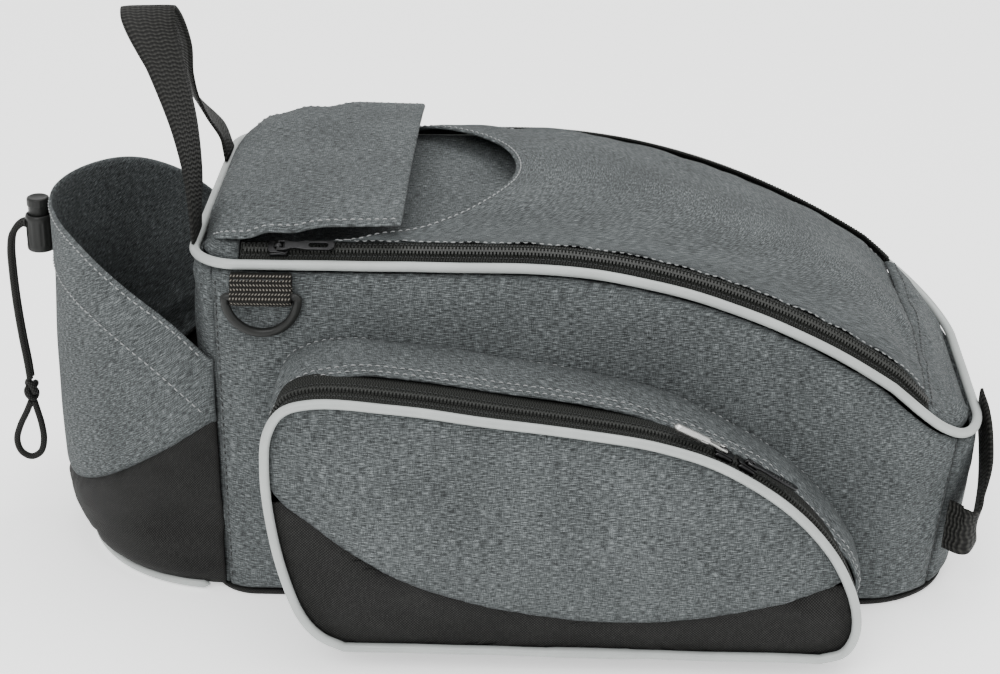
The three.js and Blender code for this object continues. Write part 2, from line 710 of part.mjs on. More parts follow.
function buildPocket(name, side) {
  const band = (from, to, thick, inset = 0) => {
    const row = (frame, height) => [from, to].map((depth) => rimPoint(side, frame, depth, height));
    const rows = (height) => rim.map((frame) => row(frame, height));
    return sheet(rows(-inset), rows(-inset - thick), true);
  };
  const tapeEdge = (pocketPipingRadius + clearance) / pocketDepth;
  const casingEdge = casingEdgeShare + clearance / pocketDepth;
  piece(`pocket_casing_${name}`, band(casingEdge, 1, casingThickness), greyCloth);
  piece(`pocket_zip_tape_${name}`, band(tapeEdge, casingEdgeShare, tapeThickness, tapeRecess), zipTape);

  const bead = round(pocketPipingRadius, pocketPipingRadius, 6);
  const cross = (frame) => bead.map(([a, b]) => rimPoint(side, frame, 0, a).add(vec(0, side * b, 0)));
  piece(`pocket_piping_${name}`, loft(rim.map(cross), true), reflective);

  const middle = (tapeEdge + casingEdgeShare) / 2;
  const coilFrames = rim.slice(coilEndGap, archShares.length - coilEndGap);
  const coilRing = (frame) => coilProfile.map(([a, b]) => {
    const height = clearance - tapeRecess + (coilHeight / 2) * (1 + b);
    return rimPoint(side, frame, middle + (a * coilWidth) / 2 / pocketDepth, height);
  });
  piece(`pocket_zip_coil_${name}`, loft(coilFrames.map(coilRing)), zipTape);

  const face = solid(faceSolid(side));
  piece(`pocket_face_upper_${name}`, shapeOf(face.intersect(solid(faceRegion(true)))), greyCloth);
  piece(`pocket_face_lower_${name}`, shapeOf(face.intersect(solid(faceRegion(false)))), blackCloth);

  const spacing = (sliderLength + pocketSliderSpace) / faceCurve.getLength();
  const sliders = [['front', pocketSliderShare, -1], ['rear', pocketSliderShare + spacing, 1]];
  for (const [mark, s, way] of sliders) {
    const share = faceCurve.getUtoTmapping(s);
    const p = faceCurve.getPoint(share);
    const along = faceCurve.getTangent(share).setY(0).normalize();
    const frame = { x: p.x, z: p.z, flare: p.y, out: vec(-along.z, 0, along.x) };
    const depthWay = rimPoint(side, frame, 1, 0).sub(rimPoint(side, frame, 0, 0));
    const normal = new THREE.Vector3().crossVectors(along, depthWay).normalize();
    if (normal.dot(frame.out) < 0) {
      normal.negate();
    }
    addSlider(`pocket_${name}_${mark}`, rimPoint(side, frame, middle, -tapeRecess), along, normal, way);
  }
}

// End pocket: its plan is half an ellipse that ends on the front corners
function endShape(z) {
  const rows = endSections;
  const share = THREE.MathUtils.clamp(z / frontHeight, 0, 1);
  const next = Math.max(1, rows.findIndex((row) => row.up >= share));
  const [a, b] = [rows[next - 1], rows[next]];
  const depth = endDepth * mix(a.depth, b.depth, (share - a.up) / (b.up - a.up));
  const level = THREE.MathUtils.clamp(z / frontHeight, 0, 1);
  const half = plan(-1, frontSeamShare, level).p.y * -1;
  const inner = half - endWall;
  const corner = -bodyLength / 2 + frontLean * (1 - level) + frontCorner;
  const rise = inner - (bodyWidth / 2 - sideLean * (1 - level) - frontCorner);
  const start = corner - Math.sqrt(Math.max(frontCorner ** 2 - rise ** 2, 0)) - clearance;
  return { depth, half, start };
}
function endPoint(angle, z, inset) {
  const { depth, half, start } = endShape(z);
  return vec(start - (depth - inset) * Math.cos(angle), (half - inset) * Math.sin(angle), z);
}
const endAngles = steps(-Math.PI / 2, Math.PI / 2, 16);
const endOutward = (angle) => 1 - Math.cos(angle);
const rimHeight = (angle) => mix(endRimHigh, endRimLow, endOutward(angle) ** rimCurve);
const splitHeight = (angle) => mix(endSeamLow, endSeamHigh, endOutward(angle) ** seamCurve);

function buildEndPocket() {
  const wallRows = (low, high, rows) => {
    const grid = (inset) => endAngles.map((angle) => {
      return steps(low(angle), high(angle), rows).map((z) => endPoint(angle, z, inset));
    });
    return sheet(grid(0), grid(endWall));
  };
  const split = (angle) => splitHeight(angle) + clearance / 2;
  piece('end_pocket_upper', wallRows(split, rimHeight, 3), greyCloth);
  const pipingTop = endLift + 2 * endPipingRadius + clearance;
  const lowerTop = (angle) => splitHeight(angle) - clearance / 2;
  piece('end_pocket_lower', wallRows(() => pipingTop, lowerTop, 3), blackCloth);

  const pipingHeight = endLift + endPipingRadius;
  const ring = endAngles.map((share) => {
    const angle = pipingReach * share;
    const frame = { p: endPoint(angle, pipingHeight, endPipingRadius), up: vec(0, 0, 1) };
    const { depth, half } = endShape(pipingHeight);
    frame.out = vec(-Math.cos(angle) * half, Math.sin(angle) * depth, 0).normalize();
    return section(frame, round(endPipingRadius, endPipingRadius, 6));
  });
  piece('end_pocket_piping', loft(ring), reflective);

  const inset = 2 * endPipingRadius + clearance;
  const front = -bodyLength / 2 - clearance;
  const rounded = endAngles.map((angle) => endPoint(angle, endLift, inset)).filter((p) => p.x < front - 1);
  const corners = [rounded.at(-1), rounded[0]].map((p) => p.clone().setX(front));
  const outline = [...rounded, ...corners];
  const top = outline.map((p) => p.clone().setZ(endLift + endBaseThickness));
  piece('end_pocket_base', loft([outline, top]), blackCloth);
}

// Drawcord: two strands side by side from the pocket through the lock to a knot, and a loop under it
function cordTube(route, y) {
  const curve = new THREE.CatmullRomCurve3(route.map(([x, z]) => vec(x, y, z)), false, 'centripetal');
  const outline = round(cordDiameter / 2, cordDiameter / 2, 8).map(([a, b]) => new THREE.Vector2(a, b));
  const count = Math.ceil(curve.getLength() / (2 * cordDiameter));
  const options = { steps: Math.max(count, 12), bevelEnabled: false, extrudePath: curve };
  return new THREE.ExtrudeGeometry(new THREE.Shape(outline), options);
}
function lockGeometry(lockX) {
  const profile = (pairs) => pairs.map(([r, z]) => new THREE.Vector2(r, z));
  const cup = [
    [0, 0], [lockRadius, 0], [lockRadius, lockHeight],
    [lockBore, lockHeight], [lockBore, lockFloor], [0, lockFloor],
  ];
  const barrel = new THREE.LatheGeometry(profile(cup), 16).rotateX(Math.PI / 2);
  const slotHeight = cordDiameter + 2 * clearance;
  const slotWidth = cordSpacing + cordDiameter + 2 * clearance;
  const channel = block(4 * lockRadius, slotWidth, slotHeight, 0, 0, lockCordHeight);
  const shell = solid(barrel).subtract(solid(channel));
  piece('cord_lock_barrel', shapeOf(shell), darkPlastic).position.set(lockX, 0, lockFoot);

  const gapUnderHead = plungerTravel + clearance;
  const shaftFoot = lockFloor + plungerTravel + clearance;
  const headFoot = lockHeight + gapUnderHead;
  const pin = [
    [0, shaftFoot], [plungerRadius, shaftFoot], [plungerRadius, headFoot],
    [plungerHead, headFoot], [plungerHead, headFoot + plungerHeadHeight], [0, headFoot + plungerHeadHeight],
  ];
  const plunger = new THREE.LatheGeometry(profile(pin), 16).rotateX(Math.PI / 2);
  const slotMiddle = lockCordHeight + plungerTravel / 2;
  const slot = block(4 * lockRadius, slotWidth, slotHeight + plungerTravel, 0, 0, slotMiddle);
  const pierced = solid(plunger).subtract(solid(slot));
  piece('cord_lock_plunger', shapeOf(pierced), darkPlastic).position.set(lockX, 0, lockFoot);
}
function buildDrawcord() {
  const outside = endPoint(0, lockFoot + lockHeight / 2, 0).x;
  lockGeometry(outside - clearance - lockRadius);
  for (const [name, side] of [['near', -1], ['far', 1]]) {
    piece(`drawcord_strand_${name}`, cordTube(cordRoute, (side * cordSpacing) / 2), webbing);
  }
  piece('drawcord_loop', cordTube(cordLoopRoute, 0), webbing);
  const knot = new THREE.SphereGeometry(0.5, 8, 6).rotateX(Math.PI / 2);
  knot.scale(knotWidth, knotWidth, knotHeight);
  piece('drawcord_knot', knot, webbing).position.set(...knotPlace);
}

// Webbing: a flat band along a path, with its width turned from row to row
function band(points, widthAt, width, count) {
  const curve = new THREE.CatmullRomCurve3(points, false, 'centripetal');
  const rings = steps(0, 1, count).map((s) => {
    const p = curve.getPoint(s);
    const along = curve.getTangent(s);
    const across = widthAt(s).addScaledVector(along, -widthAt(s).dot(along)).normalize();
    const face = new THREE.Vector3().crossVectors(along, across);
    const corner = (a, b) => {
      return p.clone().addScaledVector(across, (a * width) / 2).addScaledVector(face, (b * webThickness) / 2);
    };
    return [corner(1, 1), corner(-1, 1), corner(-1, -1), corner(1, -1)];
  });
  return loft(rings);
}
function rowValue(rows, key, s) {
  const spot = s * (rows.length - 1);
  const i = Math.min(Math.floor(spot), rows.length - 2);
  return mix(rows[i][key], rows[i + 1][key], spot - i);
}
function buildLoops() {
  const foot = frontHeight + pipingRadius + 2 * clearance;
  const handlePoints = handlePath.map(({ across, up, lean }) => {
    const x = -bodyLength / 2 + pipingSink - lean * handleLean;
    return vec(x, handleMiddle + (across * handleSpan) / 2, foot + up * handleHeight);
  });
  const handleAcross = (s) => {
    const turn = (rowValue(handlePath, 'turn', s) * Math.PI) / 180;
    return vec(Math.sin(turn), Math.cos(turn), 0);
  };
  piece('front_handle_loop', band(handlePoints, handleAcross, webWidth, 26), webbing);

  const seamFoot = wallPoint(-1, 2 + rearSeamShare, 0).p.z;
  const seamTop = wallPoint(-1, 2 + rearSeamShare, 1).p.z;
  const startShare = (rearLoopPath[0].up * rearHeight - seamFoot) / (seamTop - seamFoot);
  const seam = wallPoint(-1, 2 + rearSeamShare, startShare);
  const start = seam.p.addScaledVector(seam.out, 2 * clearance + webThickness / 2);
  const points = rearLoopPath.map(({ reach, side, up }) => {
    const wallX = bodyLength / 2 - rearLean * (1 - up);
    return vec(wallX + reach * rearLoopReach, (side * bodyWidth) / 2, up * rearHeight);
  });
  points[0].copy(start);
  const loopAcross = (s) => {
    const turn = (rowValue(rearLoopPath, 'turn', s) * Math.PI) / 180;
    return vec((rearLean / rearHeight) * Math.cos(turn), Math.sin(turn), Math.cos(turn));
  };
  piece('rear_loop', band(points, loopAcross, webWidth, 18), webbing);
}

// D-rings in webbing tabs that hang under the top seam. The ring turns about its straight bar.
const barHalf = ringThickness / 2;
const tabHole = Math.hypot(barHalf, barHalf) + ringPlay;
const tabRound = tabHole + tabWall;
function ringGeometry() {
  const inner = tabWidth / 2 + ringPlay;
  const outer = inner + ringBand;
  const shape = new THREE.Shape();
  shape.moveTo(-outer, barHalf);
  shape.lineTo(-outer, -ringStraight);
  shape.absarc(0, -ringStraight, outer, Math.PI, 2 * Math.PI, false);
  shape.lineTo(outer, barHalf);
  const hole = new THREE.Path();
  hole.moveTo(-inner, -barHalf);
  hole.lineTo(-inner, -ringStraight);
  hole.absarc(0, -ringStraight, inner, Math.PI, 2 * Math.PI, false);
  hole.lineTo(inner, -barHalf);
  shape.holes.push(hole);
  return plate(shape, ringThickness, 10);
}
function tabGeometry() {
  const shape = new THREE.Shape();
  shape.moveTo(-tabRound, tabDrop);
  shape.lineTo(-tabRound, 0);
  shape.absarc(0, 0, tabRound, Math.PI, 2 * Math.PI, false);
  shape.lineTo(tabTopThickness - tabRound, tabDrop);
  const hole = new THREE.Path();
  hole.absarc(0, 0, tabHole, 0, 2 * Math.PI, true);
  shape.holes.push(hole);
  return plate(shape, tabWidth, 8);
}
function buildRings() {
  for (const [name, side, share] of [['near', -1, nearRingShare], ['far', 1, farRingShare]]) {
    const t = 1 + share;
    const { up } = rail(side, t);
    const drop = wallDrop + tabDrop + clearance;
    const wallAt = wallPoint(side, t, 1 - drop / frontHeight);
    const hinge = offset(rail(side, t), 0, -drop);
    hinge.setY(side * (Math.abs(wallAt.p.y) + 2 * clearance + tabRound));
    const along = rail(side, t + 0.01).p.sub(rail(side, t - 0.01).p).normalize();
    place(piece(`d_ring_${name}`, ringGeometry(), darkPlastic), hinge, along, up);
    const tab = tabGeometry().rotateZ(-Math.PI / 2);
    place(piece(`d_ring_tab_${name}`, tab, webbing), hinge, along.clone().multiplyScalar(-side), up);
  }
}

buildBody();
buildLid();
buildFlap();
buildLidZips();
buildPocket('near', -1);
buildPocket('far', 1);
buildEndPocket();
buildDrawcord();
buildLoops();
buildRings();

export default object;
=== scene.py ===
import math
from functools import lru_cache

import bmesh
import bpy
import numpy as np
from bpy.props import FloatProperty, FloatVectorProperty, IntProperty, PointerProperty
from mathutils import Matrix, Vector, geometry, noise


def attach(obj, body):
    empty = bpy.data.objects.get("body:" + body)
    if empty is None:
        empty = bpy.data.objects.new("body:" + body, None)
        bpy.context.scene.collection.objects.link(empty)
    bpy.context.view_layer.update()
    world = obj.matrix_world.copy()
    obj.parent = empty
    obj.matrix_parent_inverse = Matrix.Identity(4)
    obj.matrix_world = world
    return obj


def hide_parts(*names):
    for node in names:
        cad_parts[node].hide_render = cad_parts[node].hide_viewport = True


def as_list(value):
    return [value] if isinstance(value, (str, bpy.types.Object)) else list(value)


bl_info = {
    "name": "Bicycle trunk bag",
    "version": (1, 0, 0),
    "blender": (4, 5, 0),
    "location": "3D View > Sidebar > Trunk bag",
    "description": "Makes the cloth, zips, trims and fittings of a bicycle trunk bag",
    "category": "Object",
}

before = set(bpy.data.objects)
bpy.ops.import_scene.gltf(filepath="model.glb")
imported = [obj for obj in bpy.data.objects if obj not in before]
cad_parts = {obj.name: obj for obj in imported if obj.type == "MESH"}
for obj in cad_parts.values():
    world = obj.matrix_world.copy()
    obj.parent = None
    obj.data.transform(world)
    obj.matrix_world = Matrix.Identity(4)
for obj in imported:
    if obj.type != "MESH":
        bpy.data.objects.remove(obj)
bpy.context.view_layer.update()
SIDES = (("near", -1), ("far", 1))
MM = 0.001
TINY = 1e-9

# Form of the body, in mm, as it is packed
LENGTH, WIDTH = 372.0, 185.0
FRONT_HEIGHT, REAR_HEIGHT, LEVEL_LENGTH = 174.5, 84.0, 148.0
FRONT_CORNER, REAR_CORNER = 24.0, 48.0
FRONT_LEAN, REAR_LEAN, SIDE_LEAN, SIDE_BULGE = 1.0, 10.0, 2.0, 3.0
WALL, BASE, BASE_INSET, GAP = 4.0, 3.0, 2.0, 0.3
FRONT_SEAM, REAR_SEAM = 0.58, 0.55
NEAR_SAG, SAG_SHARE, SAG_RUN = 7.0, 1.85, 0.55
PIPING, PIPING_SINK = 2.2, 0.8
LID_INSET, LID_RISE, LID_CROWN, SWELL_FRONT, SWELL_REAR = 12.0, 8.0, 5.0, 1.25, 1.1
COVER, LAYER_GAP, ZIP_END = 2.0, 1.4, 2.25
MOUTH_APEX, MOUTH_CORNER, MOUTH_DEPTH, MOUTH_FADE = 0.41, 0.117, 8.0, 0.3
FLAP_LENGTH, FLAP_HALF, FLAP_LIFT, FLAP_CROWN, FLAP_THICK = 96.0, 87.0, 6.0, 3.5, 3.0
COVER_SLUMP, FLAP_DROOP = 3.6, 5.0

# Form of the side pockets, in mm
POCKET_FRONT, POCKET_LENGTH, POCKET_FLOOR, POCKET_HEIGHT = -145.0, 266.5, 11.5, 124.0
POCKET_DEPTH, POCKET_FLARE, POCKET_DOME, DOME_REACH = 60.5, 14.0, 7.0, 48.0
POCKET_PIPING, CASING_EDGE, TAPE_RECESS, SLIDER_SHARE = 2.2, 0.4, 0.5, 0.7135
POCKET_FACE = WIDTH / 2 + SIDE_BULGE + GAP + POCKET_DEPTH
POCKET_OUTLINE = (
    (0.124, 0.015, 0.3), (0.083, 0.06, 0.3), (0.053, 0.14, 0.3), (0.023, 0.33, 0.2), (0.005, 0.55, 0.1),
    (0.0, 0.74, 0.0), (0.007, 0.88, 0.1), (0.032, 0.967, 0.2), (0.083, 1.0, 0.3), (0.233, 0.98, 0.35),
    (0.394, 0.934, 0.3), (0.538, 0.895, 0.15), (0.645, 0.857, 0.0), (0.73, 0.801, -0.2), (0.8, 0.724, -0.25),
    (0.865, 0.624, -0.18), (0.92, 0.508, -0.08), (0.962, 0.375, 0.05), (0.99, 0.215, 0.3),
    (0.992, 0.1, 0.6), (0.975, 0.03, 0.6), (0.935, 0.0, 0.5),
)
FACE_SEAM = (
    (-0.03, 0.69), (0.011, 0.627), (0.06, 0.54), (0.13, 0.441), (0.19, 0.358), (0.248, 0.289), (0.32, 0.23),
    (0.391, 0.187), (0.493, 0.15), (0.582, 0.137), (0.694, 0.15), (0.78, 0.187), (0.862, 0.235),
    (0.942, 0.289), (1.03, 0.355),
)

# Form of the flap, the end pocket, the cords and the webbing, in mm and shares
FLAP_SECTIONS = (
    (0.0, 0.2, 0.1, 0.7), (0.045, 0.62, 0.12, 0.8), (0.094, 1.0, 0.25, 0.9), (0.16, 1.0, 0.5, 0.965),
    (0.26, 1.0, 0.74, 1.0), (0.5, 1.0, 0.88, 1.0), (0.75, 1.0, 0.98, 0.99), (1.0, 1.0, 1.0, 0.985),
)
END_DEPTH, END_WALL, END_LIFT, END_PIPING = 87.0, 2.2, 1.0, 2.0
END_SECTIONS = ((0.0, 0.86), (0.04, 0.91), (0.09, 0.965), (0.16, 0.995), (0.4, 1.01), (0.7, 1.0), (1.0, 0.995))
CORD, CORD_SPACING = 3.4, 3.8
CORD_ROUTE = (
    (-266.9, 158.5), (-276, 158.5), (-282.5, 157.6), (-287, 152.5), (-288.6, 145), (-288.8, 132),
    (-288.2, 115), (-286.8, 97), (-285.2, 82), (-284.6, 73.7),
)
LOOP_ROUTE = (
    (-285.4, 60.3), (-288.2, 54), (-292.2, 46), (-294.4, 38), (-292.6, 31.4), (-287.8, 28.6),
    (-282.8, 31.2), (-280.6, 38), (-281, 47), (-282.6, 55), (-283.8, 60.3),
)
KNOT = (-284.6, 0.0, 67.0)
LOCK_RADIUS, LOCK_HEIGHT, LOCK_FOOT, PLUNGER_TRAVEL = 7.0, 19.0, 144.0, 3.7
WEB_WIDTH, WEB_THICK = 25.0, 2.0
HANDLE_HEIGHT, HANDLE_SPAN, HANDLE_MIDDLE, HANDLE_LEAN = 94.0, 112.0, -6.0, 25.0
HANDLE_PATH = (
    (-1, 0, 0, 0), (-1, 0.13, 0, 2), (-0.9, 0.33, 0.06, 8), (-0.79, 0.54, 0.22, 15), (-0.6, 0.78, 0.56, 25),
    (-0.36, 0.95, 0.92, 48), (-0.1, 1, 1.03, 80), (0.14, 0.92, 0.92, 112), (0.34, 0.78, 0.8, 130),
    (0.56, 0.6, 0.78, 145), (0.75, 0.43, 0.68, 155), (0.9, 0.27, 0.45, 165), (0.99, 0.12, 0.12, 176),
    (0.99, 0, 0, 180),
)
REAR_REACH = 11.0
REAR_LOOP_PATH = (
    (0, -0.84, 0.464, 180), (-0.25, -0.885, 0.458, 180), (0.15, -0.86, 0.478, 174), (0.35, -0.775, 0.56, 158),
    (0.55, -0.665, 0.7, 140), (0.5, -0.546, 0.845, 124), (0.4, -0.433, 0.93, 108), (0.29, -0.35, 0.985, 96),
)
TAB_WIDTH, TAB_DROP, TAB_ROUND = 28.0, 10.5, 4.35
NEAR_RING, FAR_RING, RING_REACH, TAB_BEND, TAB_TOP_OUT = 0.035, 0.999, 16.6, 3.6, -1.75
LID_SLIDER, SLIDER_SPACING = 0.06, 12.0
TAPE_STITCH = {"pitch": 2.4, "radius": 0.22}

# How the body's walls settle and are sewn, in mm
SIDE_SETTLING, END_SETTLING = {"pressure": 2.0, "cap": 3.0}, {"pressure": 1.6, "cap": 2.5}
SIDE_SEWING = {"depth": 1.5, "width": 8.0, "rumple": 1.4, "size": 52.0, "pucker": 0.4}
END_SEWING = {"depth": 1.4, "width": 8.0, "rumple": 0.8, "size": 50.0, "pucker": 0.3}

# Upper edges of the end pocket and of its black part: height at the outer end, height beside the body, bend
RIM_CURVE = (174.5, 124.5, 1.9)
SPLIT_CURVE = (33.0, 92.5, 1.1)

# Camera, floor and lamps, in metres and degrees
TARGET, DISTANCE, AZIMUTH, ELEVATION = (-0.0463, 0, 0.0995), 1.2, 2, 24
LENS, SENSOR, FLOOR_REACH, SKY_STRENGTH = 86.4, 36, 6.0, 1.25
LAMP_TARGET = (-0.03, 0, 0.08)
LAMPS = (
    ("key_light", (-0.7, -1.7, 1.8), 1.2, 31), ("fill_light", (1.7, -1.5, 0.9), 1.6, 6),
    ("top_light", (0.3, 0.3, 2.2), 1.6, 34),
)

# A stitch: share along it, thickness and height at each ring, then the share of the pitch that it takes
STITCH_RINGS = ((0.02, 0.45, -0.25), (0.2, 0.95, 0.1), (0.5, 1.1, 0.22), (0.8, 0.95, 0.1), (0.98, 0.45, -0.25))
STITCH_SHARE, STITCH_LIFT, STITCH_SIDES = 0.66, 0.12, 6

# The cord lock: radius and height at each ring, the plunger's head measured from where it starts
BARREL = (
    (0.4, 0.5), (5.6, 0), (6.4, 0.25), (6.9, 1), (6.95, 3), (6.95, 4), (6.95, 15), (6.95, 16.2), (6.95, 17.4),
    (6.6, 18.6), (6.0, 19), (5.7, 18.8), (5.55, 18), (5.5, 15.5), (5.4, 1.7), (0.4, 1.6),
)
PLUNGER_STEM = ((0.4, 5.6), (5.1, 5.6), (5.15, 6.2))
PLUNGER_HEAD = (
    (5.15, -0.2), (5.3, 0.0), (5.55, 0.4), (5.6, 1.2), (5.6, 3.4), (5.4, 4.1), (4.8, 4.5), (4.1, 4.45), (3.4, 4.1),
    (0.4, 4.0),
)

# Outlines of a slider and its puller, seen from above
SLIDER_BACK = (
    (1.4, 3.6), (-1.0, 3.2), (-3.4, 3.3), (-4.7, 2.6), (-4.8, 0), (-4.7, -2.6), (-3.4, -3.3), (-1.0, -3.2), (1.4, -3.6),
)
PULLER_LENGTH, PULLER_HALF = 26.0, 2.8
PULLER_NECK = ((-0.65, -PULLER_HALF), (3.4, -PULLER_HALF), (5.6, -1.9), (8.5, -1.75))
PULLER_EYE = ((0.65, -1.6), (0.65, 1.6), (2.85, 1.6), (2.85, -1.6))


class BagColours(bpy.types.PropertyGroup):
    cloth: FloatVectorProperty(
        name="Cloth", description="Mean colour of the heather cloth", subtype="COLOR", min=0, max=1,
        default=(0.059, 0.0648, 0.0658),
    )
    black_cloth: FloatVectorProperty(
        name="Black cloth", description="Colour of the lower panels and the base", subtype="COLOR", min=0, max=1,
        default=(0.0056, 0.0056, 0.0053),
    )
    piping: FloatVectorProperty(
        name="Piping", description="Colour of the reflective piping", subtype="COLOR", min=0, max=1,
        default=(0.36, 0.38, 0.37),
    )
    webbing: FloatVectorProperty(
        name="Webbing", description="Colour of the webbing loops", subtype="COLOR", min=0, max=1,
        default=(0.008, 0.008, 0.0072),
    )
    thread: FloatVectorProperty(
        name="Thread", description="Colour of the visible topstitching", subtype="COLOR", min=0, max=1,
        default=(0.25, 0.26, 0.26),
    )


class BagSizes(bpy.types.PropertyGroup):
    yarn: FloatProperty(
        name="Yarn pitch", description="Distance from yarn to yarn in the cloth", subtype="DISTANCE",
        unit="LENGTH", default=0.00046, min=0.0002, max=0.004, precision=5,
    )
    stitch: FloatProperty(
        name="Stitch pitch", description="Distance from stitch to stitch", subtype="DISTANCE", unit="LENGTH",
        default=0.0037, min=0.001, max=0.01, precision=4,
    )
    tooth: FloatProperty(
        name="Zip tooth pitch", description="Distance from tooth to tooth in a zip", subtype="DISTANCE",
        unit="LENGTH", default=0.0016, min=0.0008, max=0.005, precision=4,
    )
    slack: FloatProperty(
        name="Slack", description="Share by which the padded cloth is larger than its frame", subtype="FACTOR",
        default=0.012, min=0.0, max=0.05, precision=3,
    )
    frames: IntProperty(
        name="Settling steps", description="Frames over which padded cloth settles", default=16, min=4, max=60,
    )


def colours():
    return bpy.context.scene.trunk_bag_colours


def sizes():
    return bpy.context.scene.trunk_bag_sizes


# Small sums
def vec(x, y, z):
    return np.array((x, y, z), float)


def mix(a, b, s):
    return a + (b - a) * s


def clamp(s, low=0.0, high=1.0):
    return min(max(s, low), high)


def ease(s):
    s = np.clip(s, 0.0, 1.0)
    return s * s * (3 - 2 * s)


def unit(v):
    return v / max(float(np.linalg.norm(v)), 1e-12)


def ripple(places, size, seed=0.0):
    """Smooth noise from -1 to 1 at places in mm."""
    flat = np.asarray(places, float).reshape(-1, 3) / size
    shift = Vector((seed * 7.31, seed * 3.17, seed * 5.53))
    values = [noise.noise(Vector(p) + shift) for p in flat]
    return np.array(values).reshape(np.asarray(places).shape[:-1])


def smooth_line(points, shares):
    """Centripetal Catmull-Rom line through points, at shares of its knots."""
    pts = np.asarray(points, float)
    last = len(pts) - 1
    line = []
    for share in shares:
        spot = clamp(share) * last
        i = min(int(spot), last - 1)
        w = spot - i
        p1, p2 = pts[i], pts[i + 1]
        p0 = pts[i - 1] if i > 0 else 2 * pts[0] - pts[1]
        p3 = pts[i + 2] if i + 2 <= last else 2 * pts[-1] - pts[-2]
        d0, d1, d2 = (max(float(np.linalg.norm(b - a)), 1e-8) ** 0.5 for a, b in ((p0, p1), (p1, p2), (p2, p3)))
        t1 = ((p1 - p0) / d0 - (p2 - p0) / (d0 + d1) + (p2 - p1) / d1) * d1
        t2 = ((p2 - p1) / d1 - (p3 - p1) / (d1 + d2) + (p3 - p2) / d2) * d1
        line.append(p1 + t1 * w + (-3 * p1 + 3 * p2 - 2 * t1 - t2) * w**2 + (2 * p1 - 2 * p2 + t1 + t2) * w**3)
    return np.array(line)


def length_along(line):
    """How far along a line each of its places is."""
    return np.concatenate([[0], np.cumsum(np.linalg.norm(np.diff(line, axis=0), axis=1))])


def ways_along(line, closed=False):
    """The way along a line at each of its places."""
    along = np.roll(line, -1, 0) - np.roll(line, 1, 0) if closed else np.gradient(line, axis=0)
    return along / np.maximum(np.linalg.norm(along, axis=1, keepdims=True), TINY)


def taken_at(where, run, values):
    """Values that are known at distances run along a line, taken at the distances where."""
    return np.stack([np.interp(where, run, values[:, k]) for k in range(values.shape[1])], -1)


def even_line(points, spacing):
    """The same line with its points evenly spaced."""
    line = np.asarray(points, float)
    run = length_along(line)
    return taken_at(np.linspace(0, run[-1], max(2, int(round(run[-1] / spacing)) + 1)), run, line)


def loft(rings, closed=False):
    """Places and faces of a skin over rings of places, with capped ends unless it is closed."""
    rows, count = len(rings), len(rings[0])
    faces = []
    for i in range(rows if closed else rows - 1):
        after = (i + 1) % rows * count
        for j in range(count):
            k = (j + 1) % count
            faces.append((i * count + j, i * count + k, after + k, after + j))
    if not closed:
        faces += [tuple(range(count))[::-1], tuple(range((rows - 1) * count, rows * count))]
    return [p for ring in rings for p in ring], faces


# Form of the body
@lru_cache(maxsize=None)
def plan(side, t, level):
    """Place on the outline seen from above, and the way out: t runs 0 to 3 from front to rear, level from 0 to 1."""
    front = -LENGTH / 2 + FRONT_LEAN * (1 - level) + FRONT_CORNER
    rear = LENGTH / 2 - REAR_LEAN * (1 - level) - REAR_CORNER
    half = WIDTH / 2 - SIDE_LEAN * (1 - level)
    turn = (t - 1 if t < 1 else max(t - 2, 0)) * math.pi / 2
    out = vec(math.sin(turn), side * math.cos(turn), 0)
    corner = (FRONT_CORNER if t < 1 else REAR_CORNER) if t < 1 or t > 2 else 0
    middle = mix(front, rear, clamp(t - 1))
    return vec(middle, side * (half - corner), 0) + out * corner, out


def seam_height(x):
    """Height of the top seam: level at the front, then falling to the rear."""
    fall = max(0.0, (x - LEVEL_LENGTH + LENGTH / 2) / (LENGTH - LEVEL_LENGTH))
    return FRONT_HEIGHT - (FRONT_HEIGHT - REAR_HEIGHT) * fall**2


def seam_point(side, t):
    """Place on the top seam and the way out; the near side sags at its rear corner."""
    p, out = plan(side, t, 1)
    sag = NEAR_SAG * float(ease((t - SAG_SHARE) / SAG_RUN) * ease((3 - t) / SAG_RUN)) if side < 0 else 0.0
    return vec(p[0], p[1], seam_height(p[0]) - sag), out


@lru_cache(maxsize=None)
def rail(side, t):
    """Place on the top seam, the way out of the bag there and the way up across the seam."""
    p, out = seam_point(side, t)
    along = seam_point(side, min(t + 1e-3, 3.0))[0] - seam_point(side, max(t - 1e-3, 0.0))[0]
    up = unit(np.cross(out, along))
    return p, out, up if up[2] > 0 else -up


def offset(at, a, b):
    """Place at a outward and b upward from a place on a rail."""
    return at[0] + at[1] * a + at[2] * b


def wall_point(side, t, k):
    """Place on a wall, with k from 0 at its foot to 1 under the piping."""
    top = offset(rail(side, t), 0, -(PIPING + GAP))
    p, out = plan(side, t, 0)
    foot = vec(p[0], p[1], BASE + GAP)
    spread = clamp((t - FRONT_SEAM) / (2 + REAR_SEAM - FRONT_SEAM))
    bulge = SIDE_BULGE * math.sin(math.pi * spread) * math.sin(math.pi * k)
    return mix(foot, top, k) + out * bulge, out


def side_out(side, x, z):
    """How far out in y the side wall is at x and z."""
    t = 1 + clamp((x + LENGTH / 2 - FRONT_CORNER) / (LENGTH - FRONT_CORNER - REAR_CORNER))
    foot = BASE + GAP
    top = wall_point(side, t, 1)[0][2]
    return side * wall_point(side, t, clamp((z - foot) / (top - foot)))[0][1]


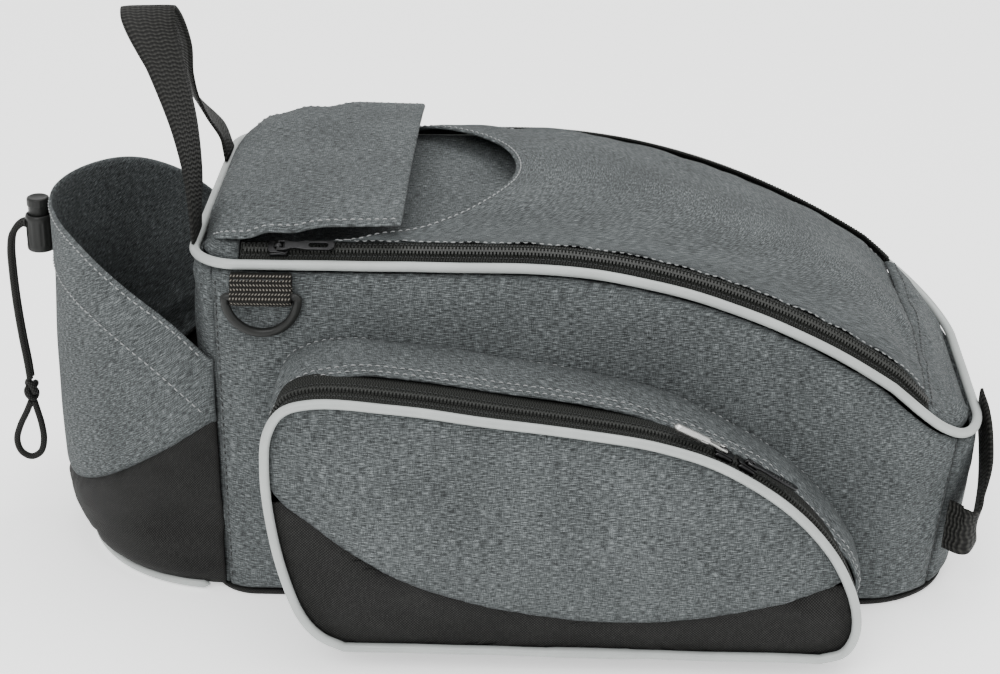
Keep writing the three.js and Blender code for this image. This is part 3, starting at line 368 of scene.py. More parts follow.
ZIP_START = 1 + GAP / (LENGTH - FRONT_CORNER - REAR_CORNER)
FOOT_OUT = -(PIPING_SINK + PIPING + GAP)
FOOT_UP = 0.2 * LID_RISE
SLOPE_LENGTH = math.hypot(LID_INSET + FOOT_OUT, LID_RISE - FOOT_UP)
SLOPE_OUT, SLOPE_UP = -(LID_INSET + FOOT_OUT) / SLOPE_LENGTH, (LID_RISE - FOOT_UP) / SLOPE_LENGTH


def slope_point(at, share, height):
    """Place on the sloped strip beside the lid, where the zip runs."""
    run = share * SLOPE_LENGTH
    return offset(at, FOOT_OUT + SLOPE_OUT * run + SLOPE_UP * height, FOOT_UP + SLOPE_UP * run - SLOPE_OUT * height)


def lid_point(t, v, height, inset=LID_INSET + GAP):
    """Place on the crowned lid: t along the rails, v from -1 at the near rail to 1 at the far one."""
    near, far = rail(-1, t), rail(1, t)
    up = unit(near[2] + far[2])
    swell = float(ease(t / SWELL_FRONT) * ease((3 - t) / SWELL_REAR))
    rise = LID_RISE + height
    flat = mix(offset(near, -inset, rise), offset(far, -inset, rise), (v + 1) / 2)
    return flat + up * LID_CROWN * swell * (1 - v * v)


def dip(t, v):
    """How far the lid's lower layer sinks under the mouth."""
    opening = ease((t - 1) / MOUTH_CORNER) * ease(1 - (t - 1 - MOUTH_APEX) / MOUTH_FADE)
    return MOUTH_DEPTH * float(opening) * (1 - v**4)


# Form of the side pockets
POCKET_KNOTS = [
    (POCKET_FRONT + a * POCKET_LENGTH, f * POCKET_FLARE, POCKET_FLOOR + u * POCKET_HEIGHT) for a, u, f in POCKET_OUTLINE
]
FACE_SEAM_LINE = smooth_line(
    [(POCKET_FRONT + a * POCKET_LENGTH, POCKET_FLOOR + u * POCKET_HEIGHT) for a, u in FACE_SEAM],
    np.linspace(0, 1, 240))
ARCH, FLOOR_ROWS = 150, 46


def rim_frames():
    """Places round a pocket's face, arch first and then its floor: x, z, flare and the way out in x and z."""
    shares = np.linspace(0, 1, ARCH)
    line = smooth_line(POCKET_KNOTS, shares)
    along = (smooth_line(POCKET_KNOTS, np.minimum(shares + 1e-4, 1))
             - smooth_line(POCKET_KNOTS, np.maximum(shares - 1e-4, 0)))
    along[:, 1] = 0
    along /= np.linalg.norm(along, axis=1, keepdims=True)
    rows = [(p[0], p[2], p[1], -w[2], w[0]) for p, w in zip(line, along)]
    last, first = rows[-1], rows[0]
    for s in np.linspace(0, 1, FLOOR_ROWS + 2)[1:-1]:
        x, z, flare = (mix(last[k], first[k], s) for k in range(3))
        leaving, coming = clamp(s * 8), clamp(s * 8 - 7)
        if s < 0.5:
            way = unit(vec(mix(last[3], 0, leaving), mix(last[4], -1, leaving), 0))
        else:
            way = unit(vec(mix(0, first[3], coming), mix(-1, first[4], coming), 0))
        rows.append((x, z, flare, way[0], way[1]))
    return rows


RIM = rim_frames()


def rim_point(side, row, depth, height):
    """Place on a pocket's rim wall: depth from 0 at its face to 1 at the bag, height outward from the rim."""
    x, z, flare, out_x, out_z = row
    reach = flare * depth + height
    px, pz = x + out_x * reach, z + out_z * reach
    return vec(px, side * mix(POCKET_FACE, side_out(side, px, pz) + GAP, depth), pz)


def beside(spots, outline):
    """Distance from each spot to a closed outline."""
    way = np.roll(outline, -1, 0) - outline
    rel = spots[:, None] - outline[None]
    s = np.clip((rel * way).sum(2) / np.maximum((way * way).sum(1), TINY), 0, 1)
    return np.linalg.norm(rel - s[..., None] * way, axis=2).min(1)


def face_seam_up(x):
    """Height of the seam between the grey and the black part of a pocket's face."""
    return np.interp(x, FACE_SEAM_LINE[:, 0], FACE_SEAM_LINE[:, 1])


# Form of the end pocket
def end_shape(z):
    """The end pocket's depth, half width and inner end at a height."""
    level = clamp(z / FRONT_HEIGHT)
    depth = END_DEPTH * float(np.interp(level, [r[0] for r in END_SECTIONS], [r[1] for r in END_SECTIONS]))
    half = -plan(-1, FRONT_SEAM, level)[0][1]
    inner = half - END_WALL
    corner = -LENGTH / 2 + FRONT_LEAN * (1 - level) + FRONT_CORNER
    rise = inner - (WIDTH / 2 - SIDE_LEAN * (1 - level) - FRONT_CORNER)
    return depth, half, corner - math.sqrt(max(FRONT_CORNER**2 - rise**2, 0)) - GAP


def end_point(angle, z, inset=0.0):
    """Place on the end pocket's wall, with the angle 0 at its outer end and a quarter turn beside the body."""
    depth, half, start = end_shape(z)
    return vec(start - (depth - inset) * math.cos(angle), (half - inset) * math.sin(angle), z)


def rim_height(angle):
    outer, inner, bend = RIM_CURVE
    return mix(outer, inner, (1 - math.cos(angle)) ** bend)


def split_height(angle):
    outer, inner, bend = SPLIT_CURVE
    return mix(outer, inner, (1 - math.cos(angle)) ** bend)


# Finishes
class Value:
    """A shader socket that sums and products can be written with."""

    def __init__(self, finish, socket):
        self.finish = finish
        self.socket = socket

    def sum(self, operation, *others):
        inputs = dict(enumerate((self, *others)))
        return self.finish.node("ShaderNodeMath", {"operation": operation}, inputs)

    def __add__(self, other):
        return self.sum("ADD", other)

    def __sub__(self, other):
        return self.sum("SUBTRACT", other)

    def __rsub__(self, other):
        return self.finish.node("ShaderNodeMath", {"operation": "SUBTRACT"}, {0: other, 1: self})

    def __mul__(self, other):
        return self.sum("MULTIPLY", other)

    __radd__, __rmul__ = __add__, __mul__

    def sine(self):
        return self.sum("SINE")

    def wave(self):
        """0 to 1 and back by turns."""
        return self.sine() * 0.5 + 0.5

    def size(self):
        return self.sum("ABSOLUTE")

    def above(self, low, high):
        """0 below low, 1 above high and smooth between."""
        settings = {"interpolation_type": "SMOOTHSTEP", "clamp": True}
        inputs = {"Value": self, "From Min": low, "From Max": high, "To Min": 0.0, "To Max": 1.0}
        return self.finish.node("ShaderNodeMapRange", settings, inputs)


class Finish:
    """A material that is built up from nodes."""

    def __init__(self, name):
        self.material = bpy.data.materials.new(name)
        self.material.use_nodes = True
        self.tree = self.material.node_tree
        self.tree.nodes.clear()

    def node(self, kind, settings=None, inputs=None, output=0):
        made = self.tree.nodes.new(kind)
        for key, value in (settings or {}).items():
            setattr(made, key, value)
        for key, value in (inputs or {}).items():
            if isinstance(value, Value):
                self.tree.links.new(value.socket, made.inputs[key])
            else:
                made.inputs[key].default_value = value
        return Value(self, made.outputs[output])

    def ramp(self, shade, *stops):
        """Colour by shade, through stops of a place and a colour each."""
        tone = self.node("ShaderNodeValToRGB", None, {0: shade})
        elements = tone.socket.node.color_ramp.elements
        while len(elements) < len(stops):
            elements.new(0.5)
        for element, (place, colour) in zip(elements, stops):
            element.position = place
            element.color = (*colour, 1.0)
        return tone

    def cloth_place(self, layer="Cloth"):
        """How far along and across the cloth a place is, in metres."""
        place = self.node("ShaderNodeUVMap", {"uv_map": layer})
        split = self.node("ShaderNodeSeparateXYZ", None, {0: place})
        return split, Value(self, split.socket.node.outputs[1])

    def object_place(self):
        return self.node("ShaderNodeTexCoord", None, None, "Object")

    def join(self, x, y, z=0.0):
        return self.node("ShaderNodeCombineXYZ", None, {0: x, 1: y, 2: z})

    def grain(self, place, scale, detail=2.0, roughness=0.55):
        return self.node("ShaderNodeTexNoise", None,
                         {"Vector": place, "Scale": scale, "Detail": detail, "Roughness": roughness})

    def cloth_grain(self, u, v, along, across=None, shift=0.0, detail=2.0, roughness=0.55):
        """Noise on the cloth, by how many grains there are to a metre along and across."""
        return self.grain(self.join(u * along, v * (across or along), shift), 1.0, detail, roughness)

    def weave(self, u, v, pitch):
        """1 where yarns one way lie on top in a plain weave, 0 where those the other way do."""
        turn = math.pi / pitch
        return ((u * turn).sine() * (v * turn).sine()) * 0.5 + 0.5

    def painted_seam_shade(self, tone, base, depth, shade):
        """The tone with painted shade close to the seams, where sunk, puckered cloth would shade itself."""
        seam = self.cloth_place("Seam")[0]
        # Painted shade: within 4 mm of a seam the tone is blended toward a darker copy of the base colour.
        return self.blend((1 - seam.above(0.0, 0.004)) * depth, tone, scaled(base, shade))

    def blend(self, share, first, second, how="MIX"):
        """Mix of two colours; each is a colour or a socket."""
        a = first if isinstance(first, Value) else (*first, 1.0)
        b = second if isinstance(second, Value) else (*second, 1.0)
        return self.node("ShaderNodeMix", {"data_type": "RGBA", "blend_type": how}, {0: share, 6: a, 7: b}, 2)

    def wear(self, low=0.52, high=0.6):
        """1 along sharp outer edges, 0 elsewhere."""
        return self.node("ShaderNodeNewGeometry", None, None, "Pointiness").above(low, high)

    def surface(self, height=None, strength=0.5, distance=0.0002, **inputs):
        """The shader itself. Names are its sockets with underlines for spaces."""
        sockets = {key.replace("_", " "): value for key, value in inputs.items()}
        for key, value in sockets.items():
            if isinstance(value, tuple):
                sockets[key] = (*value, 1.0)
        if height is not None:
            sockets["Normal"] = self.node(
                "ShaderNodeBump", None, {"Strength": strength, "Distance": distance, "Height": height})
        shader = self.node("ShaderNodeBsdfPrincipled", None, sockets)
        end = self.tree.nodes.new("ShaderNodeOutputMaterial")
        self.tree.links.new(shader.socket, end.inputs["Surface"])
        return self.material


def scaled(colour, factor):
    return tuple(min(1.0, c * factor) for c in colour)


def heather_cloth():
    """Plain weave of blue-grey melange yarns, light and dark by turns along each yarn."""
    f = Finish("heather_cloth")
    u, v = f.cloth_place()
    pitch = sizes().yarn
    over = f.weave(u, v, pitch)
    warp = f.cloth_grain(u, v, 1.15 / pitch, 0.14 / pitch, detail=1.5, roughness=0.5)
    weft = f.grain(f.join(u * (0.13 / pitch) + 37.0, v * (1.15 / pitch) + 11.0), 1.0, 1.5, 0.5)
    weight = over * 0.62
    yarn = warp * weight + weft * (1 - weight)
    slub = f.cloth_grain(u, v, 1500.0, shift=3.0, roughness=0.6)
    patch = f.cloth_grain(u, v, 26.0, shift=9.0, detail=3.0, roughness=0.5)
    base = tuple(colours().cloth)
    tone = f.ramp(
        yarn * 0.8 + slub * 0.12 + patch * 0.08, (0.38, scaled(base, 0.26)), (0.46, scaled(base, 0.7)),
        (0.52, scaled(base, 1.1)), (0.58, scaled(base, 1.9)), (0.65, scaled(base, 3.1)))
    # The base colour carries painted shade along the seams.
    return f.surface(over * 0.5 + yarn * 0.8, strength=0.55, distance=0.00022,
                     Base_Color=f.painted_seam_shade(tone, base, 0.35, 0.35),
                     Roughness=0.86 + (slub - 0.5) * 0.16, Specular_IOR_Level=0.12)


def black_cloth():
    """Black coated pack cloth with a fine rib."""
    f = Finish("black_cloth")
    u, v = f.cloth_place()
    over = f.weave(u, v, sizes().yarn * 1.5)
    slub = f.cloth_grain(u, v, 900.0, 260.0, detail=3.0, roughness=0.6)
    patch = f.cloth_grain(u, v, 30.0, shift=5.0, detail=3.0, roughness=0.5)
    base = tuple(colours().black_cloth)
    tone = f.ramp(over * 0.45 + slub * 0.4 + patch * 0.15, (0.28, scaled(base, 0.4)), (0.48, scaled(base, 0.9)),
                  (0.66, scaled(base, 4.2)))
    # The base colour carries painted shade along the seams.
    return f.surface(over + slub * 0.5, strength=0.6, distance=0.0003,
                     Base_Color=f.painted_seam_shade(tone, base, 0.3, 0.4), Roughness=0.6 + slub * 0.2, Specular_IOR_Level=0.14)


def tape_cloth():
    """Woven zip tape with a herringbone along its length."""
    f = Finish("zip_tape_cloth")
    u, v = f.cloth_place()
    rib = (u * 5200.0 + (v * 1800.0).sine() * 1.6).wave()
    fuzz = f.cloth_grain(u, v, 1500.0)
    tone = f.ramp(rib * 0.5 + fuzz * 0.5, (0.25, (0.004, 0.0045, 0.004)), (0.5, (0.0095, 0.01, 0.009)),
                  (0.75, (0.025, 0.026, 0.024)))
    return f.surface(rib + fuzz * 0.4, strength=0.5, distance=0.0002,
                     Base_Color=tone, Roughness=0.8 + fuzz * 0.12, Specular_IOR_Level=0.12)


def coil_nylon():
    f = Finish("zip_coil_nylon")
    fuzz = f.grain(f.object_place(), 900.0, 2.0)
    tone = f.blend(fuzz, (0.007, 0.008, 0.007), (0.036, 0.037, 0.034))
    return f.surface(fuzz, strength=0.2, distance=0.0001,
                     Base_Color=tone, Roughness=0.38 + fuzz * 0.2, Specular_IOR_Level=0.3)


def piping_film():
    """Reflective film over piping cord: fine beads, with faint scuffs."""
    f = Finish("reflective_film")
    place = f.object_place()
    beads = f.grain(place, 2600.0, 1.0)
    scuff = f.grain(place, 55.0, 4.0, 0.6)
    base = tuple(colours().piping)
    tone = f.blend(scuff.above(0.35, 0.75), scaled(base, 0.94), scaled(base, 1.1))
    tone = f.blend(beads * 0.28, tone, scaled(base, 0.62))
    tone = f.blend(f.grain(place, 14.0, 2.0).above(0.6, 0.8) * 0.16, tone, (0.36, 0.36, 0.33))
    return f.surface(beads, strength=0.22, distance=0.00012,
                     Base_Color=tone, Roughness=0.36 + scuff * 0.22, Metallic=0.12,
                     Specular_IOR_Level=0.5, Coat_Roughness=0.3)


def web_cloth():
    """Ribbed webbing: bars across its width, each of slanted yarns, with fuzzy edges."""
    f = Finish("webbing_cloth")
    u, v = f.cloth_place()
    bars = (u * 3000.0 + (v * 900.0).sine() * 1.1).wave()
    rib = (v * 2600.0).wave()
    fuzz = f.cloth_grain(u, v, 1600.0, detail=3.0, roughness=0.6)
    base = tuple(colours().webbing)
    tone = f.ramp(bars * 0.5 + rib * 0.2 + fuzz * 0.3, (0.3, scaled(base, 0.45)), (0.55, scaled(base, 1.25)),
                  (0.8, scaled(base, 3.4)))
    return f.surface(bars + rib * 0.5 + fuzz * 0.3, strength=0.8, distance=0.0005,
                     Base_Color=tone, Roughness=0.55 + fuzz * 0.25, Specular_IOR_Level=0.16)


def tab_cloth():
    """Webbing of the D-ring tabs, with rows of light lozenges."""
    f = Finish("tab_webbing")
    u, v = f.cloth_place()
    lozenge = ((v * 2100.0 + (u * 800.0).sine() * 2.2).sine() * (u * 1500.0).sine()).size()
    line = ((u * 1500.0).sine()).size()
    fuzz = f.cloth_grain(u, v, 1500.0, detail=3.0, roughness=0.6)
    tone = f.ramp(lozenge * 0.62 + fuzz * 0.4, (0.34, (0.006, 0.006, 0.005)), (0.6, (0.02, 0.018, 0.015)),
                  (0.84, (0.2, 0.185, 0.16)))
    return f.surface(lozenge + line * 0.5, strength=0.9, distance=0.0006,
                     Base_Color=tone, Roughness=0.74 + fuzz * 0.15, Specular_IOR_Level=0.16)


def moulded_plastic():
    f = Finish("moulded_plastic")
    place = f.object_place()
    grain = f.grain(place, 1400.0, 3.0)
    scuff = f.grain(place, 120.0, 4.0, 0.65)
    tone = f.blend(scuff, (0.007, 0.0075, 0.007), (0.018, 0.0185, 0.0175))
    tone = f.blend(f.wear(0.56, 0.68) * 0.3, tone, (0.05, 0.05, 0.048))
    return f.surface(grain, strength=0.18, distance=0.0002,
                     Base_Color=tone, Roughness=0.24 + scuff * 0.3, Specular_IOR_Level=0.2)


def plated_metal(name, dark, light):
    """Plated zinc with rubbed edges."""
    f = Finish(name)
    place = f.object_place()
    scuff = f.grain(place, 420.0, 4.0, 0.6)
    brushed = f.grain(place, 2400.0, 1.0)
    tone = f.blend(scuff, dark, light)
    tone = f.blend(f.wear(0.58, 0.7) * 0.3, tone, (0.5, 0.5, 0.48))
    return f.surface(brushed, strength=0.12, distance=0.0001,
                     Base_Color=tone, Roughness=0.2 + scuff * 0.26, Metallic=0.92)


def sewing_thread(name, colour):
    f = Finish(name)
    place = f.object_place()
    ply = f.grain(place, 2600.0, 2.0)
    tone = f.blend(ply, scaled(colour, 0.62), scaled(colour, 1.2))
    return f.surface(ply, strength=0.4, distance=0.0001,
                     Base_Color=tone, Roughness=0.6 + ply * 0.2, Specular_IOR_Level=0.3)


def braid():
    """Round braided cord: two sets of slanted yarns."""
    f = Finish("braided_cord")
    u, v = f.cloth_place()
    left = ((u * 2200.0 + v * 1850.0).sine()).size()
    right = ((u * 2200.0 - v * 1850.0).sine()).size()
    fuzz = f.cloth_grain(u, v, 2500.0)
    tone = f.ramp(left * right * 0.7 + fuzz * 0.3, (0.15, (0.004, 0.004, 0.0035)), (0.5, (0.01, 0.01, 0.009)),
                  (0.8, (0.036, 0.036, 0.034)))
    return f.surface(left * right, strength=0.8, distance=0.0004,
                     Base_Color=tone, Roughness=0.62 + fuzz * 0.2, Specular_IOR_Level=0.16)


MAKERS = {
    "heather": heather_cloth,
    "black": black_cloth,
    "tape": tape_cloth,
    "coil": coil_nylon,
    "piping": piping_film,
    "webbing": web_cloth,
    "tab": tab_cloth,
    "plastic": moulded_plastic,
    "gunmetal": lambda: plated_metal("gunmetal", (0.006, 0.006, 0.0063), (0.04, 0.04, 0.041)),
    "bright": lambda: plated_metal("bright_metal", (0.42, 0.42, 0.41), (0.62, 0.62, 0.6)),
    "black_metal": lambda: plated_metal("black_metal", (0.015, 0.015, 0.016), (0.06, 0.06, 0.062)),
    "light_thread": lambda: sewing_thread("light_thread", tuple(colours().thread)),
    "dark_thread": lambda: sewing_thread("dark_thread", (0.035, 0.037, 0.037)),
    "braid": braid,
}
made_finishes = {}


def finish(name):
    if name not in made_finishes:
        made_finishes[name] = MAKERS[name]()
    return made_finishes[name]


def in_scene(name, data):
    """Adds an object to the scene."""
    obj = bpy.data.objects.new(name, data)
    bpy.context.scene.collection.objects.link(obj)
    return obj


# Pieces
def add_piece(name, places, faces, finish_name, body="bag", cloth=None, seam=None, detail=0, smooth=True):
    """Adds a mesh from places in mm. cloth and seam hold two numbers in mm for each corner of each face."""
    mesh = bpy.data.meshes.new(name)
    mesh.from_pydata([tuple(p) for p in np.asarray(places, float) * MM], [], [list(f) for f in faces])
    for layer, pairs in (("Cloth", cloth), ("Seam", seam)):
        if pairs is not None:
            mesh.uv_layers.new(name=layer).data.foreach_set("uv", (np.asarray(pairs, float) * MM).ravel())
    mesh.polygons.foreach_set("use_smooth", [smooth] * len(mesh.polygons))
    mesh.materials.append(finish(finish_name))
    mesh.validate()
    mesh.update()
    obj = in_scene(name, mesh)
    if detail:
        rounder = obj.modifiers.new("Rounding", "SUBSURF")
        rounder.levels = rounder.render_levels = detail
    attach(obj, body)
    return obj


class Parts:
    """Points, faces and cloth places that are gathered into one mesh."""

    def __init__(self):
        self.places, self.faces, self.cloth = [], [], []

    def add(self, places, faces, cloth=None):
        start = len(self.places)
        self.places.extend(np.asarray(places, float))
        self.faces.extend([start + i for i in face] for face in faces)
        self.cloth.extend(cloth if cloth is not None else [(0.0, 0.0)] * sum(len(face) for face in faces))

    def piece(self, name, finish_name, slot, body="bag", node=None, smooth=True):
        """Makes the piece, far from any seam so that it takes no painted seam shade, and lets it take the place of a
        solid.
        """
        seam = np.full((len(self.cloth), 2), 50.0)
        obj = add_piece(name, self.places, self.faces, finish_name, body, self.cloth, seam, smooth=smooth)
        shell = bmesh.new()
        shell.from_mesh(obj.data)
        bmesh.ops.recalc_face_normals(shell, faces=shell.faces)
        shell.to_mesh(obj.data)
        shell.free()
        if node:
            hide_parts(node)
        return obj


def tube(parts, line, radius, sides=10, closed=False, across=None, squash=1.0, taper=0.0, radii=None):
    """A round bar along a line of places, or a flattened one, with rounded ends."""
    line = np.asarray(line, float)
    along, run = ways_along(line, closed), length_along(line)
    side = across[0] if across is not None else unit(np.cross(along[0], vec(0.31, 0.52, 0.79)))
    side = unit(side - along[0] * np.dot(side, along[0]))
    angles = np.linspace(0, 2 * math.pi, sides, endpoint=False)
    rings = []
    for i, (p, way) in enumerate(zip(line, along)):
        if across is not None:
            side = across[i]
        side = unit(side - way * np.dot(side, way))
        up = np.cross(way, side)
        r = radius if radii is None else radii[i]
        if taper and not closed:
            r *= 1 - (1 - min(1.0, min(run[i], run[-1] - run[i]) / taper)) ** 2 * 0.8
        rings.append([p + side * r * math.cos(a) + up * r * squash * math.sin(a) for a in angles])
    places, faces = loft(rings, closed)
    girth = 2 * math.pi * radius / sides
    marks = [*run, run[-1] + float(np.linalg.norm(line[0] - line[-1]))]
    cloth = [
        (marks[i + a], (j + b) * girth)
        for i in range(len(line) if closed else len(line) - 1) for j in range(sides)
        for a, b in ((0, 0), (0, 1), (1, 1), (1, 0))
    ]
    if not closed:
        cloth += [(0.0, 0.0)] * (2 * sides)
    parts.add(places, faces, cloth)


def ribbon(parts, line, widths, width, thick, columns=8):
    """A flat woven band along a line, with soft edges. widths give the way across it at each place."""
    line = np.asarray(line, float)
    along, run = ways_along(line), length_along(line)
    profile = [(s, 1 - 0.35 * abs(s) ** 6) for s in np.linspace(-1, 1, columns + 1)]
    profile += [(s, -high) for s, high in profile[::-1]]
    rings = []
    for p, way, wide in zip(line, along, widths):
        side = unit(wide - way * np.dot(wide, way))
        up = np.cross(way, side)
        rings.append([p + side * a * width / 2 + up * b * thick / 2 for a, b in profile])
    places, faces = loft(rings)
    spans = [s * width / 2 for s, _ in profile]
    cloth = [
        (run[i + a], span)
        for i in range(len(line) - 1) for first, second in zip(spans, spans[1:] + spans[:1])
        for a, span in ((0, first), (0, second), (1, second), (1, first))
    ]
    cloth += [(0.0, span) for span in spans[::-1]] + [(run[-1], span) for span in spans]
    parts.add(places, faces, cloth)


def stitches(parts, line, normals, pitch=None, radius=0.36):
    """A row of stitches on a line of places in mm: each rises from the cloth and dives in again."""
    pitch = pitch or sizes().stitch * 1000
    line, normals = np.asarray(line, float), np.asarray(normals, float)
    run = length_along(line)
    sides = STITCH_SIDES
    angles = np.linspace(0, 2 * math.pi, sides, endpoint=False)
    faces = [
        (i * sides + j, (i + 1) * sides + j, (i + 1) * sides + (j + 1) % sides, i * sides + (j + 1) % sides)
        for i in range(len(STITCH_RINGS) - 1) for j in range(sides)
    ]
    faces += [tuple(range(sides)), tuple(range((len(STITCH_RINGS) - 1) * sides, len(STITCH_RINGS) * sides))[::-1]]
    start = pitch * 0.2
    while start + pitch * STITCH_SHARE < run[-1]:
        a, b = taken_at(start, run, line), taken_at(start + pitch * STITCH_SHARE, run, line)
        up = unit(taken_at(start + pitch * STITCH_SHARE / 2, run, normals))
        side = unit(np.cross(b - a, up))
        places = []
        for s, thick, rise in STITCH_RINGS:
            middle = mix(a, b, s) + up * (rise + STITCH_LIFT)
            places += [middle + (side * math.cos(g) + up * math.sin(g) * 0.8) * radius * thick for g in angles]
        parts.add(places, faces)
        start += pitch


class Panel:
    """A sewn panel: a grid of places in mm, rows by columns, that faces one way."""

    def __init__(self, places, toward, closed=False):
        self.places = np.asarray(places, float)
        self.toward = np.asarray(toward, float)
        self.closed = closed
        self.measure()

    def measure(self):
        g = self.places
        along = (np.roll(g, -1, 0) - np.roll(g, 1, 0)) / 2 if self.closed else np.gradient(g, axis=0)
        normal = np.cross(along, np.gradient(g, axis=1))
        normal /= np.maximum(np.linalg.norm(normal, axis=2, keepdims=True), 1e-9)
        self.flip = bool(np.sum(normal * self.toward) < 0)
        self.normals = -normal if self.flip else normal
        looped = np.concatenate([g, g[:1]]) if self.closed else g
        down = np.cumsum(np.linalg.norm(np.diff(looped, axis=0), axis=2), 0)
        self.down = np.concatenate([np.zeros((1, g.shape[1])), down])
        across = np.cumsum(np.linalg.norm(np.diff(g, axis=1), axis=2), 1)
        self.across = np.concatenate([np.zeros((g.shape[0], 1)), across], 1)

    def reach(self, edges):
        """Distance in mm of each place from the nearest of these edges: start, end, left and right."""
        rows = len(self.places)
        down, across = self.down[:rows], self.across
        found = {"start": down, "end": self.down[-1] - down, "left": across, "right": across[:, -1:] - across}
        return np.min([found[e] for e in edges], axis=0) if edges else np.full(across.shape, 1e3)

    def push(self, amounts):
        self.places = self.places + self.normals * np.asarray(amounts)[..., None]
        self.measure()

    def sew(self, edges, depth=1.3, width=7.0, rumple=0.7, size=46.0, pucker=0.3, seed=0.0):
        """Sinks the sewn edges, gathers the cloth a little beside them and rumples what lies between."""
        near = self.reach(edges)
        rows = len(self.places)
        amounts = ripple(self.places, size, seed) * rumple * ease(near / 30)
        for pair, first, second in (
            (("left", "right"), self.down[:rows], self.across), (("start", "end"), self.across, self.down[:rows])
        ):
            sewn = [e for e in edges if e in pair]
            if sewn:
                close = self.reach(sewn)
                spots = np.stack([first / 6.5, second / 34.0, np.full(first.shape, seed)], 2)
                amounts += ripple(spots, 1.0, seed) * pucker * (1 - ease(close / 17)) * ease(close / 2)
        self.push(amounts - depth * (1 - ease(near / width)))

    def settle(self, pressure=2.5, cap=4.0, free=()):
        """Lets the cloth puff and fold between its seams, as a simulation that is capped and kept."""
        rows, columns = self.places.shape[:2]
        index = lambda i, j: (i % rows) * columns + j
        faces = [
            (index(i, j), index(i + 1, j), index(i + 1, j + 1), index(i, j + 1))
            for i in range(rows if self.closed else rows - 1) for j in range(columns - 1)
        ]
        if self.flip:
            faces = [face[::-1] for face in faces]
        ends = () if self.closed else ("start", "end")
        edges = [e for e in (*ends, "left", "right") if e not in free]
        pinned = np.nonzero(self.reach(edges).ravel() < 0.5)[0].tolist()
        settled = settled_cloth(self.places.reshape(-1, 3), faces, pinned, pressure, cap)
        self.places = settled.reshape(self.places.shape)
        self.measure()

    def line(self, edge, distance, start=0.0, end=1.0):
        """The line at a distance in mm from one edge, with the facings along it."""
        rows, columns = self.places.shape[:2]
        if edge in ("left", "right"):
            picks = range(int(round(start * (rows - 1))), int(round(end * (rows - 1))) + 1)
            tracks = [(self.places[i], self.normals[i], self.across[i]) for i in picks]
        else:
            picks = range(int(round(start * (columns - 1))), int(round(end * (columns - 1))) + 1)
            down = self.down[:rows]
            tracks = [(self.places[:, j], self.normals[:, j], down[:, j]) for j in picks]
        line, normals = [], []
        for places, facing, run in tracks:
            where = distance if edge in ("left", "start") else run[-1] - distance
            line.append(taken_at(where, run, places))
            normals.append(taken_at(where, run, facing))
        return np.array(line), np.array(normals)

    def piece(self, name, thick, finish_name, slot, nodes=(), edges=("start", "end", "left", "right"), detail=1,
              fill=0.5, body="bag"):
        """Makes the panel, with its own thickness, as a padded piece."""
        g, n = self.places, self.normals
        rows, columns = g.shape[:2]
        places = np.concatenate([g.reshape(-1, 3), (g - n * thick).reshape(-1, 3)])
        seam = self.reach([e for e in edges if not (self.closed and e in ("start", "end"))])
        at = lambda layer, i, j: (layer * rows + i % rows) * columns + j
        lay = lambda i, j: (self.down[i, j], self.across[i % rows, j])
        near = lambda i, j: (seam[i % rows, j], 0.0)
        faces, cloth, beside = [], [], []

        def quad(*corners):
            corners = corners[::-1] if self.flip else corners
            faces.append([at(*c) for c in corners])
            cloth.extend(lay(i, j) for _, i, j in corners)
            beside.extend(near(i, j) for _, i, j in corners)

        spans = rows if self.closed else rows - 1
        last = columns - 1
        for i in range(spans):
            for j in range(last):
                quad((0, i, j), (0, i + 1, j), (0, i + 1, j + 1), (0, i, j + 1))
                quad((1, i, j), (1, i, j + 1), (1, i + 1, j + 1), (1, i + 1, j))
            quad((0, i, 0), (1, i, 0), (1, i + 1, 0), (0, i + 1, 0))
            quad((0, i, last), (0, i + 1, last), (1, i + 1, last), (1, i, last))
        for j in range(last if not self.closed else 0):
            quad((0, 0, j), (0, 0, j + 1), (1, 0, j + 1), (1, 0, j))
            quad((0, rows - 1, j), (1, rows - 1, j), (1, rows - 1, j + 1), (0, rows - 1, j + 1))
        obj = add_piece(name, places, faces, finish_name, body, cloth, beside, detail)
        if nodes:
            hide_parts(*nodes)
        return obj


def settled_cloth(places, faces, pinned, pressure, cap):
    """Runs Blender's cloth on a mesh in mm that is held at its pinned points, and caps how far it moves."""
    scene = bpy.context.scene
    mesh = bpy.data.meshes.new("settling")
    mesh.from_pydata([tuple(p) for p in places * MM], [], [list(f) for f in faces])
    obj = in_scene("settling", mesh)
    obj.vertex_groups.new(name="pinned").add(pinned, 1.0, "REPLACE")
    cloth = obj.modifiers.new("Settling", "CLOTH")
    rules = cloth.settings
    rules.quality = 5
    rules.mass = 0.25
    rules.tension_stiffness = rules.compression_stiffness = 14
    rules.shear_stiffness = 7
    rules.bending_stiffness = 0.6
    rules.vertex_group_mass = "pinned"
    rules.use_pressure = True
    rules.uniform_pressure_force = pressure
    rules.shrink_min = -sizes().slack
    rules.effector_weights.gravity = 0
    cloth.collision_settings.use_collision = False
    cloth.point_cache.frame_start, cloth.point_cache.frame_end = 1, sizes().frames
    for number in range(1, sizes().frames + 1):
        scene.frame_set(number)
    shown = obj.evaluated_get(bpy.context.evaluated_depsgraph_get())
    result = np.empty(len(places) * 3)
    shown.data.vertices.foreach_get("co", result)
    bpy.data.objects.remove(obj)
    bpy.data.meshes.remove(mesh)
    scene.frame_set(1)
    moved = result.reshape(-1, 3) / MM - places
    length = np.linalg.norm(moved, axis=1, keepdims=True)
    return places + moved * np.tanh(length / cap) * cap / np.maximum(length, TINY)


def grid(rows, columns, place):
    return np.array([[place(a, b) for b in columns] for a in rows])


